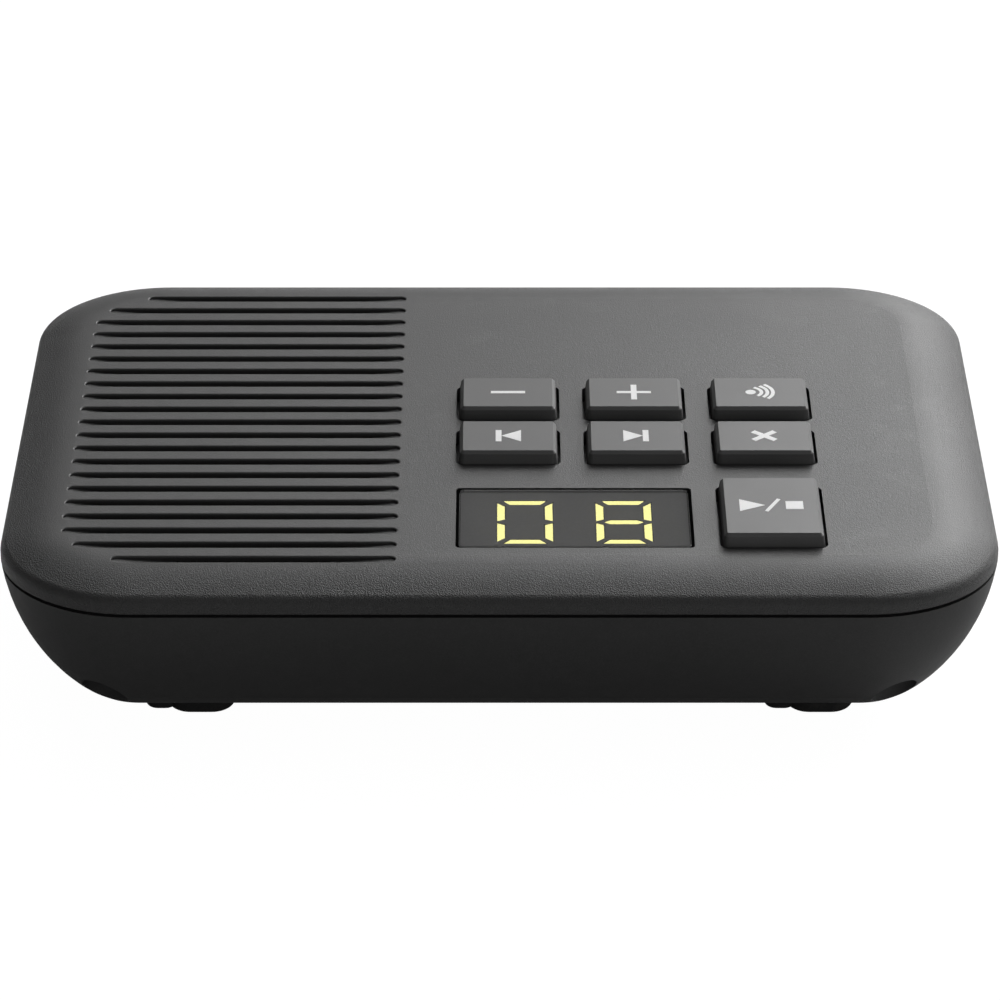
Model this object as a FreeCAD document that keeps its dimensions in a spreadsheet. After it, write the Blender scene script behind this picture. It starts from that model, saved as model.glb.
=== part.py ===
import FreeCAD, Part
import Sketcher
import math
import os
import re

from FreeCAD import Placement, Rotation, Vector

# Tabletop answering machine: a shallow rounded box with a slotted speaker
# field on the left, seven keys on the right and a two-digit display.
# Millimetres, +Z up, front towards -Y. The origin is on the table, under
# the middle of the case.

os.makedirs("parts", exist_ok=True)
doc = FreeCAD.newDocument("answering_machine")

# Driving dimensions, all in millimetres and degrees
SIZES = {
    # case outline and profile
    "case_width": 128.0, "case_depth": 96.0, "corner_radius": 17.5,
    "foot_height": 1.6, "bowl_depth": 20.15, "cover_height": 4.05,
    "roll_radius": 18.0, "roll_angle": 25.0, "edge_radius": 1.5,
    "bowl_inset": 14.3, "side_lean": 7.0, "side_turn": 45.3, "base_turn": 72.0,
    "side_wall": 2.0, "roof_wall": 2.0, "floor_wall": 2.0,
    # joint between the two halves of the case
    "parting_gap": 0.5, "parting_setback": 0.8,
    "tongue_gap": 0.15, "tongue_width": 1.2, "tongue_height": 1.5, "tongue_root": 3.25,
    "roof_fillet": 1.0,
    # screw wells at the four corners
    "well_from_side": 13.4, "well_from_front": 8.95, "well_radius": 2.92,
    "column_radius": 4.3, "column_drop": 9.35, "column_top_wall": 1.4,
    "case_boss_radius": 2.7,
    # speaker slots
    "slot_pitch": 4.0, "slot_width": 1.5, "slot_margin": 8.0, "slot_offset": 0.6,
    "slot_from_side": 7.95, "slot_field_corner": 10.5, "slot_field_spare": 0.62,
    "slot_to_keys": 7.425, "slot_edge": 0.22, "slot_lip": 0.3, "slot_ramp": 3.7,
    "slot_ramp_growth": 4.5, "slot_ramp_depth": 0.75,
    # keys
    "key_width": 13.0, "key_depth": 9.9, "play_key_depth": 16.85, "key_corner": 0.75,
    "key_gap": 0.4, "key_spacing": 3.875, "row_spacing": 3.55, "key_from_side": 29.1,
    "play_from_front": 19.2, "low_row_from_front": 39.7,
    "key_rise": 1.7, "key_draft": 0.18, "key_chamfer": 0.39, "key_wall": 1.2, "key_travel": 0.9,
    "flange_width": 0.8, "flange_thickness": 0.9, "flange_gap": 0.1,
    "stem_radius": 1.9, "stem_gap": 0.05,
    # rubber mat and contacts under the keys
    "mat_thickness": 1.0, "mat_margin": 1.2, "dome_radius": 3.7, "dome_top_radius": 2.2,
    "dome_height": 2.6, "dome_skin": 0.7, "dome_shoulder": 0.9,
    "pill_radius": 1.5, "pill_thickness": 0.5, "pill_gap": 0.15, "pill_rest": 0.02,
    "pad_thickness": 0.05, "pad_radius": 1.8, "pad_split": 0.3,
    # display
    "window_width": 30.45, "window_depth": 17.1, "window_corner": 0.6, "window_offset": 0.15,
    "window_from_key": 8.39, "window_ledge": 1.5, "lens_thickness": 1.0, "lens_gap": 0.4,
    "lens_bevel": 0.12, "digit_offset": 0.45,
    "digit_width": 7.1, "digit_height": 12.0, "digit_pitch": 12.7, "digit_stroke": 0.95,
    "digit_mitre": 0.92, "digit_slant": 0.75, "digit_side_gap": 0.65, "digit_middle_gap": 0.4,
    "digit_middle_inset": 1.1, "segment_thickness": 0.2, "segment_gap": 0.05,
    "module_corner": 0.4, "module_gap": 0.25,
    # circuit boards
    "board_thickness": 1.6, "board_corner": 8.0, "board_from_side": 15.0,
    "board_from_front": 13.0, "standoff_height": 2.0, "standoff_radius": 2.6,
    "standoff_from_side": 22.0, "standoff_from_front": 20.0,
    "key_board_drop": 6.8, "key_board_left": 4.3, "key_board_right": 4.2,
    "key_board_front": 6.0, "key_board_rear": 6.1, "key_boss_radius": 1.9,
    "key_boss_inset": 2.3, "key_board_corner": 1.5,
    # fasteners
    "case_screw_radius": 1.2, "case_screw_length": 8.0, "case_screw_head": 2.3,
    "board_screw_radius": 0.9, "board_screw_head": 1.8, "board_screw_length": 3.6,
    "key_screw_length": 5.2, "speaker_screw_length": 2.6,
    "screw_gap": 0.06, "hole_gap": 0.25, "screw_end_gap": 0.4, "screw_head_height": 1.2,
    "cross_width": 0.55, "cross_depth": 0.7,
    # speaker
    "speaker_radius": 20.0, "frame_flange": 2.4, "frame_thickness": 0.8,
    "frame_depth": 8.3, "frame_rim": 2.3, "frame_base_radius": 12.2, "frame_wall": 0.8,
    "frame_window_width": 8.5, "frame_window_height": 3.7,
    "spider_rise": 0.4, "spider_gap": 0.3, "spider_ledge": 0.6,
    "cloth_thickness": 0.3, "cloth_margin": 2.0, "cloth_gap": 0.15, "gasket_thickness": 0.8,
    "magnet_radius": 6.2, "magnet_height": 2.4, "pole_height": 1.0, "pole_drop": 0.2,
    "coil_clearance": 0.45, "coil_wall": 0.5, "coil_floor_gap": 0.2,
    "yoke_wall": 1.9, "yoke_floor": 1.2, "yoke_seat": 0.4,
    "cone_stroke": 0.4, "cone_thickness": 0.4, "cone_height": 4.2, "neck_height": 1.8,
    "neck_flare": 0.3,
    "cone_radius": 15.6, "cap_radius": 7.1, "cap_height": 2.9, "surround_thickness": 0.3,
    "surround_lip": 0.8, "surround_roll": 0.6, "surround_gap": 0.05,
    "clamp_from_speaker": 3.2, "clamp_overlap": 0.9, "clamp_thickness": 0.8,
    "clamp_boss_radius": 2.2, "clamp_rows": 4.5,
    # sockets at the rear
    "bay_width": 37.0, "bay_over": 0.7, "bay_under": 0.4, "bay_floor_from_rear": 10.0,
    "bay_wall": 1.8, "bay_back_wall": 2.0, "socket_pitch": 18.0, "socket_height": 11.5,
    "socket_length": 18.0, "line_socket_width": 13.2, "power_socket_width": 11.4,
    "line_cavity_width": 9.8, "power_cavity_width": 7.8, "cavity_height": 6.8,
    "cavity_depth": 12.5, "cavity_lift": 1.8, "latch_width": 3.6, "latch_height": 1.8,
    "socket_gap": 0.15, "contact_setback": 1.4, "contact_clearance": 1.0, "contact_rise": 1.8,
    "contact_wire": 0.45, "contact_pitch": 1.25,
    # feet
    "foot_width": 8.7, "foot_length": 10.0, "foot_corner": 2.6, "lobe_width": 3.8,
    "lobe_length": 8.8, "lobe_rise": 0.25, "lobe_corner": 1.5, "foot_bevel": 0.55,
    "foot_from_side": 23.85, "foot_from_front": 18.65,
    # underside
    "label_width": 44.0, "label_depth": 26.0, "label_recess": 0.3, "label_corner": 2.0,
    "label_from_middle": 6.5,
    "vent_length": 13.0, "vent_width": 1.6, "vent_pitch": 4.2, "vents_from_middle": 24.0,
    # parts on the main board, placed from the middle of the case, from the middle of the
    # radio part or, for the coupler and the relay, from the left edge of the key board
    "radio_from_side": 40.0, "can_width": 26.0, "can_depth": 20.0, "can_height": 3.0,
    "can_corner": 1.0, "can_sheet": 0.3, "can_from_middle": 16.0,
    "logic_x": -4.0, "logic_y": -3.0, "logic_width": 7.0, "logic_depth": 7.0, "logic_height": 1.2,
    "radio_x": 5.5, "radio_y": -3.0, "radio_width": 5.0, "radio_depth": 6.0, "radio_height": 1.0,
    "memory_x": -22.0, "memory_y": 2.0, "memory_width": 9.0, "memory_depth": 6.0, "memory_height": 1.6,
    "supply_can_x": 9.0, "supply_can_y": 4.0, "supply_can_radius": 3.15, "supply_can_height": 7.4,
    "filter_can_x": 1.5, "filter_can_y": 4.0, "filter_can_radius": 3.15, "filter_can_height": 7.4,
    "audio_can_x": -6.0, "audio_can_y": 5.0, "audio_can_radius": 2.5, "audio_can_height": 6.4,
    "line_can_x": -2.0, "line_can_y": 24.0, "line_can_radius": 4.0, "line_can_height": 9.0,
    "coupler_x": 11.675, "coupler_y": 8.0, "coupler_width": 12.0, "coupler_depth": 10.0,
    "coupler_height": 7.6, "coupler_corner": 0.8,
    "relay_x": -2.325, "relay_y": 8.0, "relay_width": 10.0, "relay_depth": 6.5,
    "relay_height": 5.2, "relay_corner": 0.3,
    "crystal_x": -14.0, "crystal_y": -16.0, "crystal_width": 11.0, "crystal_depth": 4.6,
    "crystal_height": 3.4, "crystal_corner": 2.2,
    "antenna_width": 13.0, "antenna_height": 5.6, "antenna_sheet": 0.4, "antenna_top": 4.0,
    "antenna_from_side": 29.0, "antenna_from_rear": 17.0,
    "link_width": 15.2, "link_depth": 2.5, "link_pin_width": 0.6, "link_pin_pitch": 2.54,
    "link_inset_x": 6.0, "link_inset_y": 14.0,
    "lead_radius": 0.5, "lead_bend": 3.0, "lead_pitch": 3.0, "lead_from_tag": 0.6, "lead_shift": 1.2,
    "tag_reach": 1.0, "tag_width": 4.6, "tag_length": 7.0, "tag_thickness": 1.0,
}

dims = doc.addObject("Spreadsheet::Sheet", "dims")
for row, (alias, value) in enumerate(SIZES.items(), 1):
    dims.set("A%d" % row, alias)
    dims.set("B%d" % row, str(value))
    dims.setAlias("B%d" % row, alias)
doc.recompute()

# Heights and places that follow from the driving dimensions
PARTING = "(foot_height + bowl_depth)"
TOP = "(foot_height + bowl_depth + cover_height)"
UNDER = "(%s - roof_wall)" % TOP
RIM = "(%s - parting_gap)" % PARTING
FLOOR = "(foot_height + floor_wall)"
BOARD = "(%s + standoff_height)" % FLOOR
BOARD_TOP = "(%s + board_thickness)" % BOARD
COLUMN_TOP = "(%s - column_drop)" % PARTING
KEY_BOARD_TOP = "(%s - key_board_drop)" % UNDER
KEY_TOP = "(%s + key_rise)" % TOP
PAD_TOP = "(%s + pad_thickness)" % KEY_BOARD_TOP
PILL_BASE = "(%s + key_travel + pill_rest)" % PAD_TOP
DOME_TOP = "(%s + dome_height)" % KEY_BOARD_TOP
LENS_BASE = "(%s - lens_thickness)" % TOP
SPEAKER_TOP = "(%s - cloth_thickness - gasket_thickness)" % UNDER

RIGHT_KEYS = "(case_width / 2 - key_from_side)"
MIDDLE_KEYS = "(%s - key_width - key_spacing)" % RIGHT_KEYS
LEFT_KEYS = "(%s - 2 * (key_width + key_spacing))" % RIGHT_KEYS
LOW_ROW = "(low_row_from_front - case_depth / 2)"
HIGH_ROW = "(%s + key_depth + row_spacing)" % LOW_ROW
PLAY_ROW = "(play_from_front - case_depth / 2)"
WINDOW_X = "(%s - window_from_key)" % MIDDLE_KEYS
WINDOW_Y = "(%s - window_offset)" % PLAY_ROW
LIGHT_WIDTH = "(window_width - 2 * window_ledge)"
LIGHT_DEPTH = "(window_depth - 2 * window_ledge)"
SLOT_RIGHT = "(%s - key_width / 2 - key_gap - slot_to_keys)" % LEFT_KEYS
SLOT_LEFT = "(slot_from_side - case_width / 2)"
SPEAKER_X = "((%s + %s) / 2)" % (SLOT_LEFT, SLOT_RIGHT)
SPEAKER_Y = "(0 - slot_offset)"
KEYS_LEFT = "(%s - key_width / 2 - key_board_left)" % LEFT_KEYS
KEYS_RIGHT = "(%s + key_width / 2 + key_board_right)" % RIGHT_KEYS
KEYS_FRONT = "(key_board_front - case_depth / 2)"
KEYS_REAR = "(%s + key_depth / 2 + key_board_rear)" % HIGH_ROW
WELL_X = "(case_width / 2 - well_from_side)"
WELL_Y = "(case_depth / 2 - well_from_front)"
BAY_FLOOR = "(case_depth / 2 - bay_floor_from_rear)"
BAY_TOP = "(%s + socket_height + bay_over)" % BOARD_TOP
BAY_BASE = "(%s - bay_under)" % BOARD_TOP
RADIO_X = "(case_width / 2 - radio_from_side)"

# Name, column, row and depth of each key
KEYS = [
    ("minus_key", LEFT_KEYS, HIGH_ROW, "key_depth"),
    ("plus_key", MIDDLE_KEYS, HIGH_ROW, "key_depth"),
    ("paging_key", RIGHT_KEYS, HIGH_ROW, "key_depth"),
    ("back_key", LEFT_KEYS, LOW_ROW, "key_depth"),
    ("forward_key", MIDDLE_KEYS, LOW_ROW, "key_depth"),
    ("delete_key", RIGHT_KEYS, LOW_ROW, "key_depth"),
    ("play_key", RIGHT_KEYS, PLAY_ROW, "play_key_depth"),
]


def size(text):
    """Write a sum of named sizes as an expression on the sheet's cells."""
    return re.sub(r"[a-z_]+", lambda word: "dims." * (word.group() in SIZES) + word.group(), text)


def num(text):
    """Value of a sum of named sizes."""
    return float(dims.evalExpression(size(text)))


def bind(thing, prop, text):
    thing.setExpression(prop, size(text))


# Sketches

def new_body(label, x="0", y="0", z="0"):
    body = doc.addObject("PartDesign::Body", label)
    body.AllowCompound = True
    bind(body, "Placement.Base.x", x)
    bind(body, "Placement.Base.y", y)
    bind(body, "Placement.Base.z", z)
    return body


def new_sketch(body, z="0", plane="XY_Plane", x="0", y="0"):
    sketch = body.newObject("Sketcher::SketchObject", body.Label + "_sketch")
    base = [feature for feature in body.Origin.OriginFeatures if feature.Role == plane][0]
    sketch.AttachmentSupport = [(base, "")]
    sketch.MapMode = "FlatFace"
    bind(sketch, "AttachmentOffset.Base.x", x)
    bind(sketch, "AttachmentOffset.Base.y", y)
    bind(sketch, "AttachmentOffset.Base.z", z)
    return sketch


def dimension(sketch, constraint, text):
    index = sketch.addConstraint(constraint)
    sketch.setExpression("Constraints[%d]" % index, size(text))


def place_point(sketch, geometry, vertex, x, y):
    """Hold one point of a sketch at x, y from the sketch's origin."""
    dimension(sketch, Sketcher.Constraint("DistanceX", -1, 1, geometry, vertex, num(x)), x)
    dimension(sketch, Sketcher.Constraint("DistanceY", -1, 1, geometry, vertex, num(y)), y)


def add_circles(sketch, radius, centres=(("0", "0"),)):
    for x, y in centres:
        circle = sketch.addGeometry(Part.Circle(Vector(num(x), num(y), 0), Vector(0, 0, 1), num(radius)))
        dimension(sketch, Sketcher.Constraint("Radius", circle, num(radius)), radius)
        place_point(sketch, circle, 3, x, y)
    return sketch


def add_polygon(sketch, points):
    """Closed outline of straight edges through points given as sums of sizes."""
    corners = [Vector(num(x), num(y), 0) for x, y in points]
    first = sketch.GeometryCount
    for start, end in zip(corners, corners[1:] + corners[:1]):
        sketch.addGeometry(Part.LineSegment(start, end))
    count = len(points)
    for step, (x, y) in enumerate(points):
        following = first + (step + 1) % count
        sketch.addConstraint(Sketcher.Constraint("Coincident", first + step, 2, following, 1))
        place_point(sketch, first + step, 1, x, y)
    return sketch


def add_boxes(sketch, width, depth, centres=(("0", "0"),)):
    for x, y in centres:
        left, right = "%s - (%s) / 2" % (x, width), "%s + (%s) / 2" % (x, width)
        low, high = "%s - (%s) / 2" % (y, depth), "%s + (%s) / 2" % (y, depth)
        add_polygon(sketch, [(left, low), (right, low), (right, high), (left, high)])
    return sketch


def add_rounded(sketch, width, depth, radius):
    """Rectangle with four equal round corners, centred on the sketch's origin."""
    half_x, half_y, corner = num(width) / 2, num(depth) / 2, num(radius)
    first = sketch.GeometryCount
    ends = [
        (half_x, corner - half_y), (half_x, half_y - corner),
        (half_x - corner, half_y), (corner - half_x, half_y),
        (-half_x, half_y - corner), (-half_x, corner - half_y),
        (corner - half_x, -half_y), (half_x - corner, -half_y),
    ]
    for side in range(4):
        start, end = ends[2 * side], ends[2 * side + 1]
        sketch.addGeometry(Part.LineSegment(Vector(*start, 0), Vector(*end, 0)))
    for turn, (side_x, side_y) in enumerate(((1, 1), (-1, 1), (-1, -1), (1, -1))):
        centre = Vector(side_x * (half_x - corner), side_y * (half_y - corner), 0)
        circle = Part.Circle(centre, Vector(0, 0, 1), corner)
        quarter = math.pi / 2
        sketch.addGeometry(Part.ArcOfCircle(circle, turn * quarter, (turn + 1) * quarter))
    for side in range(4):
        arc = first + 4 + side
        sketch.addConstraint(Sketcher.Constraint("Tangent", first + side, 2, arc, 1))
        sketch.addConstraint(Sketcher.Constraint("Tangent", arc, 2, first + (side + 1) % 4, 1))
        direction = "Horizontal" if side % 2 else "Vertical"
        sketch.addConstraint(Sketcher.Constraint(direction, first + side))
        if side:
            sketch.addConstraint(Sketcher.Constraint("Equal", first + 4, arc))
    sketch.addConstraint(Sketcher.Constraint("Symmetric", first + 4, 3, first + 6, 3, -1, 1))
    left, right, front, rear = first + 2, first, first + 3, first + 1
    dimension(sketch, Sketcher.Constraint("DistanceX", left, 1, right, 1, 2 * half_x), width)
    dimension(sketch, Sketcher.Constraint("DistanceY", front, 1, rear, 1, 2 * half_y), depth)
    dimension(sketch, Sketcher.Constraint("Radius", first + 4, corner), radius)
    return sketch


def add_curves(sketch, curves):
    for curve in curves:
        sketch.addGeometry(curve)
    return sketch


# Features

def pad(body, sketch, length, down=False):
    feature = body.newObject("PartDesign::Pad", body.Label + "_pad")
    feature.Profile = sketch
    feature.Reversed = down
    bind(feature, "Length", length)
    return feature


def pocket(body, sketch, length, up=False, both_ways=False):
    feature = body.newObject("PartDesign::Pocket", body.Label + "_pocket")
    feature.Profile = sketch
    feature.Reversed = up
    feature.Midplane = both_ways
    bind(feature, "Length", length)
    return feature


def turned(label, outlines, x="0", y="0", z="0"):
    """Body of revolution about its own Z axis from outlines of (radius, height)."""
    body = new_body(label, x, y, z)
    for outline in outlines:
        sketch = add_polygon(new_sketch(body, plane="XZ_Plane"), outline)
        feature = body.newObject("PartDesign::Revolution", label + "_turn")
        feature.Profile = sketch
        feature.ReferenceAxis = (sketch, ["V_Axis"])
        feature.Angle = 360
    return body


def dress_edges(body, kind, amount, height):
    """Fillet or chamfer every edge that lies at one height of the body."""
    doc.recompute()
    base = body.Tip
    level = num(height)
    names = []
    for index, edge in enumerate(base.Shape.Edges, 1):
        box = edge.BoundBox
        if abs(box.ZMin - level) < 1e-4 and abs(box.ZMax - level) < 1e-4:
            names.append("Edge%d" % index)
    feature = body.newObject("PartDesign::" + kind, body.Label + "_edge")
    feature.Base = (base, names)
    bind(feature, "Radius" if kind == "Fillet" else "Size", amount)
    return feature


def sweep_cut(body, path, profile, edges=8):
    feature = body.newObject("PartDesign::SubtractivePipe", body.Label + "_sweep")
    feature.Profile = profile
    feature.Spine = (path, ["Edge%d" % number for number in range(1, edges + 1)])
    return feature


def cut(label, base, tools):
    feature = doc.addObject("Part::Cut", label)
    feature.Base = base
    feature.Tool = tools
    return feature


def fixed_shape(label, shape):
    feature = doc.addObject("Part::Feature", label)
    feature.Shape = shape
    return feature


def slab(label, width, depth, radius, base, height, x="0", y="0"):
    """Plate with round corners, standing on height base."""
    body = new_body(label, x, y, base)
    pad(body, add_rounded(new_sketch(body), width, depth, radius), height)
    return body


def four(x, y):
    """The four mirrored places of a point."""
    return [(x, y), ("-" + x, y), ("-" + x, "-" + y), (x, "-" + y)]


NODES = []


def node(label, piece):
    piece.Label = label
    NODES.append((label, piece))
    return piece


def screws(label, places, radius, length, head, base, upward):
    """Pan-head screws with cross recesses, heads on the side they are driven from."""
    body = new_body(label, "0", "0", base)
    pad(body, add_circles(new_sketch(body), radius, places), length, down=not upward)
    pad(body, add_circles(new_sketch(body), head, places), "screw_head_height", down=upward)
    face = "-screw_head_height" if upward else "screw_head_height"
    for width, depth in (("1.5 * (%s)" % head, "cross_width"), ("cross_width", "1.5 * (%s)" % head)):
        sketch = add_boxes(new_sketch(body, face), width, depth, places)
        pocket(body, sketch, "cross_depth", up=upward)
    return node(label, body)


# Case: the curves of its rim and bowl are swept round the outline

def bowl(label, inset, base, top):
    """Solid bowl whose side runs parallel to the case's outside, inset from it."""
    body = new_body(label)
    outline = new_sketch(body, base)
    width, depth = "case_width - 2 * (%s)" % inset, "case_depth - 2 * (%s)" % inset
    add_rounded(outline, width, depth, "corner_radius - (%s)" % inset)
    pad(body, outline, "%s - %s" % (top, base))
    # Two tangent arcs that drop by the bowl's depth while they draw in by its inset
    lean, turn, last = [math.radians(num(name)) for name in ("side_lean", "side_turn", "base_turn")]
    drop, reach, offset = num("bowl_depth"), num("bowl_inset"), num(inset)
    side_drop, side_reach = math.sin(turn) - math.sin(lean), math.cos(lean) - math.cos(turn)
    base_drop, base_reach = math.sin(last) - math.sin(turn), math.cos(turn) - math.cos(last)
    share = side_drop * base_reach - base_drop * side_reach
    large = (drop * base_reach - reach * base_drop) / share
    small = (reach * side_drop - drop * side_reach) / share
    half_width, shift = num("case_width / 2"), large - small
    centre = Vector(half_width - large * math.cos(lean), num(PARTING) + large * math.sin(lean), 0)
    low_centre = centre + Vector(shift * math.cos(turn), -shift * math.sin(turn), 0)
    side = Part.Circle(centre, Vector(0, 0, 1), large - offset)
    lower = Part.Circle(low_centre, Vector(0, 0, 1), small - offset)
    past_base = last + math.radians(0.5)
    upper_arc = Part.ArcOfCircle(side, -turn, -lean)
    lower_arc = Part.ArcOfCircle(lower, -past_base, -turn)
    bottom, rim = lower_arc.StartPoint, upper_arc.EndPoint
    spare = 2.0
    outer, under = half_width + spare, bottom.y - spare
    corners = [bottom, Vector(bottom.x, under, 0), Vector(outer, under, 0)]
    corners += [Vector(outer, rim.y, 0), rim]
    edges = [Part.LineSegment(start, end) for start, end in zip(corners, corners[1:])]
    profile = add_curves(new_sketch(body, plane="XZ_Plane"), [upper_arc, lower_arc] + edges)
    sweep_cut(body, outline, profile)
    return body


def ring(sketch, outer, inner):
    """Outline of a band that follows the case wall between two insets."""
    for inset in (outer, inner):
        width, depth = "case_width - 2 * (%s)" % inset, "case_depth - 2 * (%s)" % inset
        add_rounded(sketch, width, depth, "corner_radius - (%s)" % inset)
    return sketch


WELLS = four(WELL_X, WELL_Y)
STANDOFF_X = "(case_width / 2 - standoff_from_side)"
STANDOFF_Y = "(case_depth / 2 - standoff_from_front)"
STANDOFFS = four(STANDOFF_X, STANDOFF_Y)
TONGUE_OUT = "side_wall + tongue_gap"
TONGUE_IN = "side_wall + tongue_gap + tongue_width"
SOCKETS = [
    ("line", "(0 - socket_pitch / 2)", "line_socket_width", "line_cavity_width", 4),
    ("power", "(socket_pitch / 2)", "power_socket_width", "power_cavity_width", 2),
]


def bottom_case():
    """Lower shell with screw columns, board standoffs and the rear socket bay."""
    block = bowl("case_block", "0", "foot_height", RIM)
    pad(block, ring(new_sketch(block, RIM), TONGUE_OUT, TONGUE_IN), "tongue_height")

    # What is hollow inside, less the columns and walls that stand in it
    hollow = bowl("case_hollow", "side_wall", FLOOR, RIM)
    pocket(hollow, ring(new_sketch(hollow, RIM), "side_wall - 1", TONGUE_IN), "tongue_root")
    column_height = "%s - foot_height" % COLUMN_TOP
    columns = add_circles(new_sketch(hollow, COLUMN_TOP), "column_radius", WELLS)
    pocket(hollow, columns, column_height)
    standoffs = add_circles(new_sketch(hollow, BOARD), "standoff_radius", STANDOFFS)
    pocket(hollow, standoffs, "standoff_height")
    reach = "(bay_floor_from_rear + bay_back_wall)"
    bay = new_sketch(hollow, RIM, y="(case_depth - %s) / 2" % reach)
    add_boxes(bay, "bay_width + 2 * bay_wall", reach)
    pocket(hollow, bay, "%s - %s + bay_wall" % (RIM, BAY_BASE))

    # Openings cut through the finished shell
    shelf = "%s - column_top_wall" % COLUMN_TOP
    openings = new_body("case_openings")
    well_sketch = add_circles(new_sketch(openings, shelf), "well_radius", WELLS)
    pad(openings, well_sketch, column_height, down=True)
    hole_sketch = add_circles(new_sketch(openings, shelf), "case_screw_radius + hole_gap", WELLS)
    pad(openings, hole_sketch, "column_top_wall + 1")
    pilots = add_circles(new_sketch(openings, BOARD), "board_screw_radius + screw_gap", STANDOFFS)
    pad(openings, pilots, "board_screw_length - board_thickness + screw_end_gap", down=True)
    mouth = new_sketch(openings, BAY_TOP, y="case_depth / 2")
    add_boxes(mouth, "bay_width", "2 * bay_floor_from_rear")
    pad(openings, mouth, "%s - %s" % (BAY_TOP, BAY_BASE), down=True)
    for name, x, width, cavity, wires in SOCKETS:
        window = new_sketch(openings, BOARD_TOP + " + socket_height + socket_gap", x=x, y=BAY_FLOOR)
        add_boxes(window, "%s + 2 * socket_gap" % width, "3 * bay_back_wall")
        pad(openings, window, "socket_height + 2 * socket_gap", down=True)
    plate = new_sketch(openings, "foot_height - 1", y="0 - label_from_middle")
    add_rounded(plate, "label_width", "label_depth", "label_corner")
    pad(openings, plate, "label_recess + 1")
    beside = 3
    row = [("(%d * vent_pitch)" % step, "0") for step in range(-beside, beside + 1)]
    vents = new_sketch(openings, "foot_height - 1", y="vents_from_middle")
    pad(openings, add_boxes(vents, "vent_width", "vent_length", row), "floor_wall + 2")
    shell = cut("case_shell", block, hollow)
    return node("bottom_case", cut("bottom_case", shell, openings))


def slot_rows():
    """Height in Y of every slot, and how far its ends are drawn in at the corners."""
    half = num("case_depth / 2 - slot_margin")
    pitch, corner = num("slot_pitch"), num("slot_field_corner")
    count = 2 * int(round(half / pitch)) + 1
    turn = half + num("slot_field_spare") - corner
    rows = []
    for step in range(count):
        away = (step - (count - 1) / 2) * pitch
        over = max(abs(away) - turn, 0.0)
        drawn_in = corner - math.sqrt(corner ** 2 - over ** 2)
        share = abs(away) / half
        rows.append((away + num(SPEAKER_Y), drawn_in, share))
    return rows


def slot_outline(left, right, y, radius, height):
    """Long hole with round ends, as a wire at that height."""
    start, end = Vector(left + radius, y, height), Vector(right - radius, y, height)
    aside, along = Vector(0, radius, 0), Vector(radius, 0, 0)
    return Part.Wire([
        Part.LineSegment(start - aside, end - aside).toShape(),
        Part.Arc(end - aside, end + along, end + aside).toShape(),
        Part.LineSegment(end + aside, start + aside).toShape(),
        Part.Arc(start + aside, start - along, start - aside).toShape(),
    ])


def slot_cutters():
    """One cutter a slot: round ends, a softened rim, and a floor that rises to both ends."""
    radius, edge, lip = num("slot_width / 2"), num("slot_edge"), num("slot_lip")
    top, under, above, below = num(TOP), num(UNDER), 1.0, 0.5
    low, shelf = under - below, top - num("slot_ramp_depth")
    solids = []
    for y, drawn_in, share in slot_rows():
        left, right = num(SLOT_LEFT) + drawn_in, num(SLOT_RIGHT)
        hole = Part.Face(slot_outline(left, right, y, radius, low))
        plan = hole.extrude(Vector(0, 0, top - low))
        ramp = num("slot_ramp") + num("slot_ramp_growth") * share ** 4
        drop = ramp + shelf - low
        outline = [
            (left, top), (left, top - lip), (left + ramp, shelf), (left + drop, low),
            (right - drop, low), (right - ramp, shelf), (right, top - lip), (right, top),
        ]
        corners = [Vector(x, y - 2 * radius, z) for x, z in outline]
        side = Part.Face(Part.makePolygon(corners + corners[:1]))
        channel = plan.common(side.extrude(Vector(0, 4 * radius, 0)))
        rim = [slot_outline(left - edge, right + edge, y, radius + edge, top + above)]
        for turn in range(0, 91, 30):
            wider = edge * (1 - math.sin(math.radians(turn)))
            height = top - edge * (1 - math.cos(math.radians(turn)))
            rim.append(slot_outline(left - wider, right + wider, y, radius + wider, height))
        solids.append(channel.fuse(Part.makeLoft(rim, True, True)))
    return fixed_shape("slot_cutters", Part.makeCompound(solids))


CLAMP_REACH = "(speaker_radius + clamp_from_speaker)"
CLAMP_Y = "(clamp_rows * slot_pitch)"
CLAMP_X = "sqrt(%s * %s - %s * %s)" % (CLAMP_REACH, CLAMP_REACH, CLAMP_Y, CLAMP_Y)
CLAMPS = [
    ("%s %s %s" % (SPEAKER_X, side, CLAMP_X), "%s %s %s" % (SPEAKER_Y, way, CLAMP_Y))
    for side in "+-" for way in "+-"
]
KEY_BOSSES = [
    (x, y)
    for x in (KEYS_LEFT + " + key_boss_inset", KEYS_RIGHT + " - key_boss_inset")
    for y in (KEYS_FRONT + " + key_boss_inset", KEYS_REAR + " - key_boss_inset")
]


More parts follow.
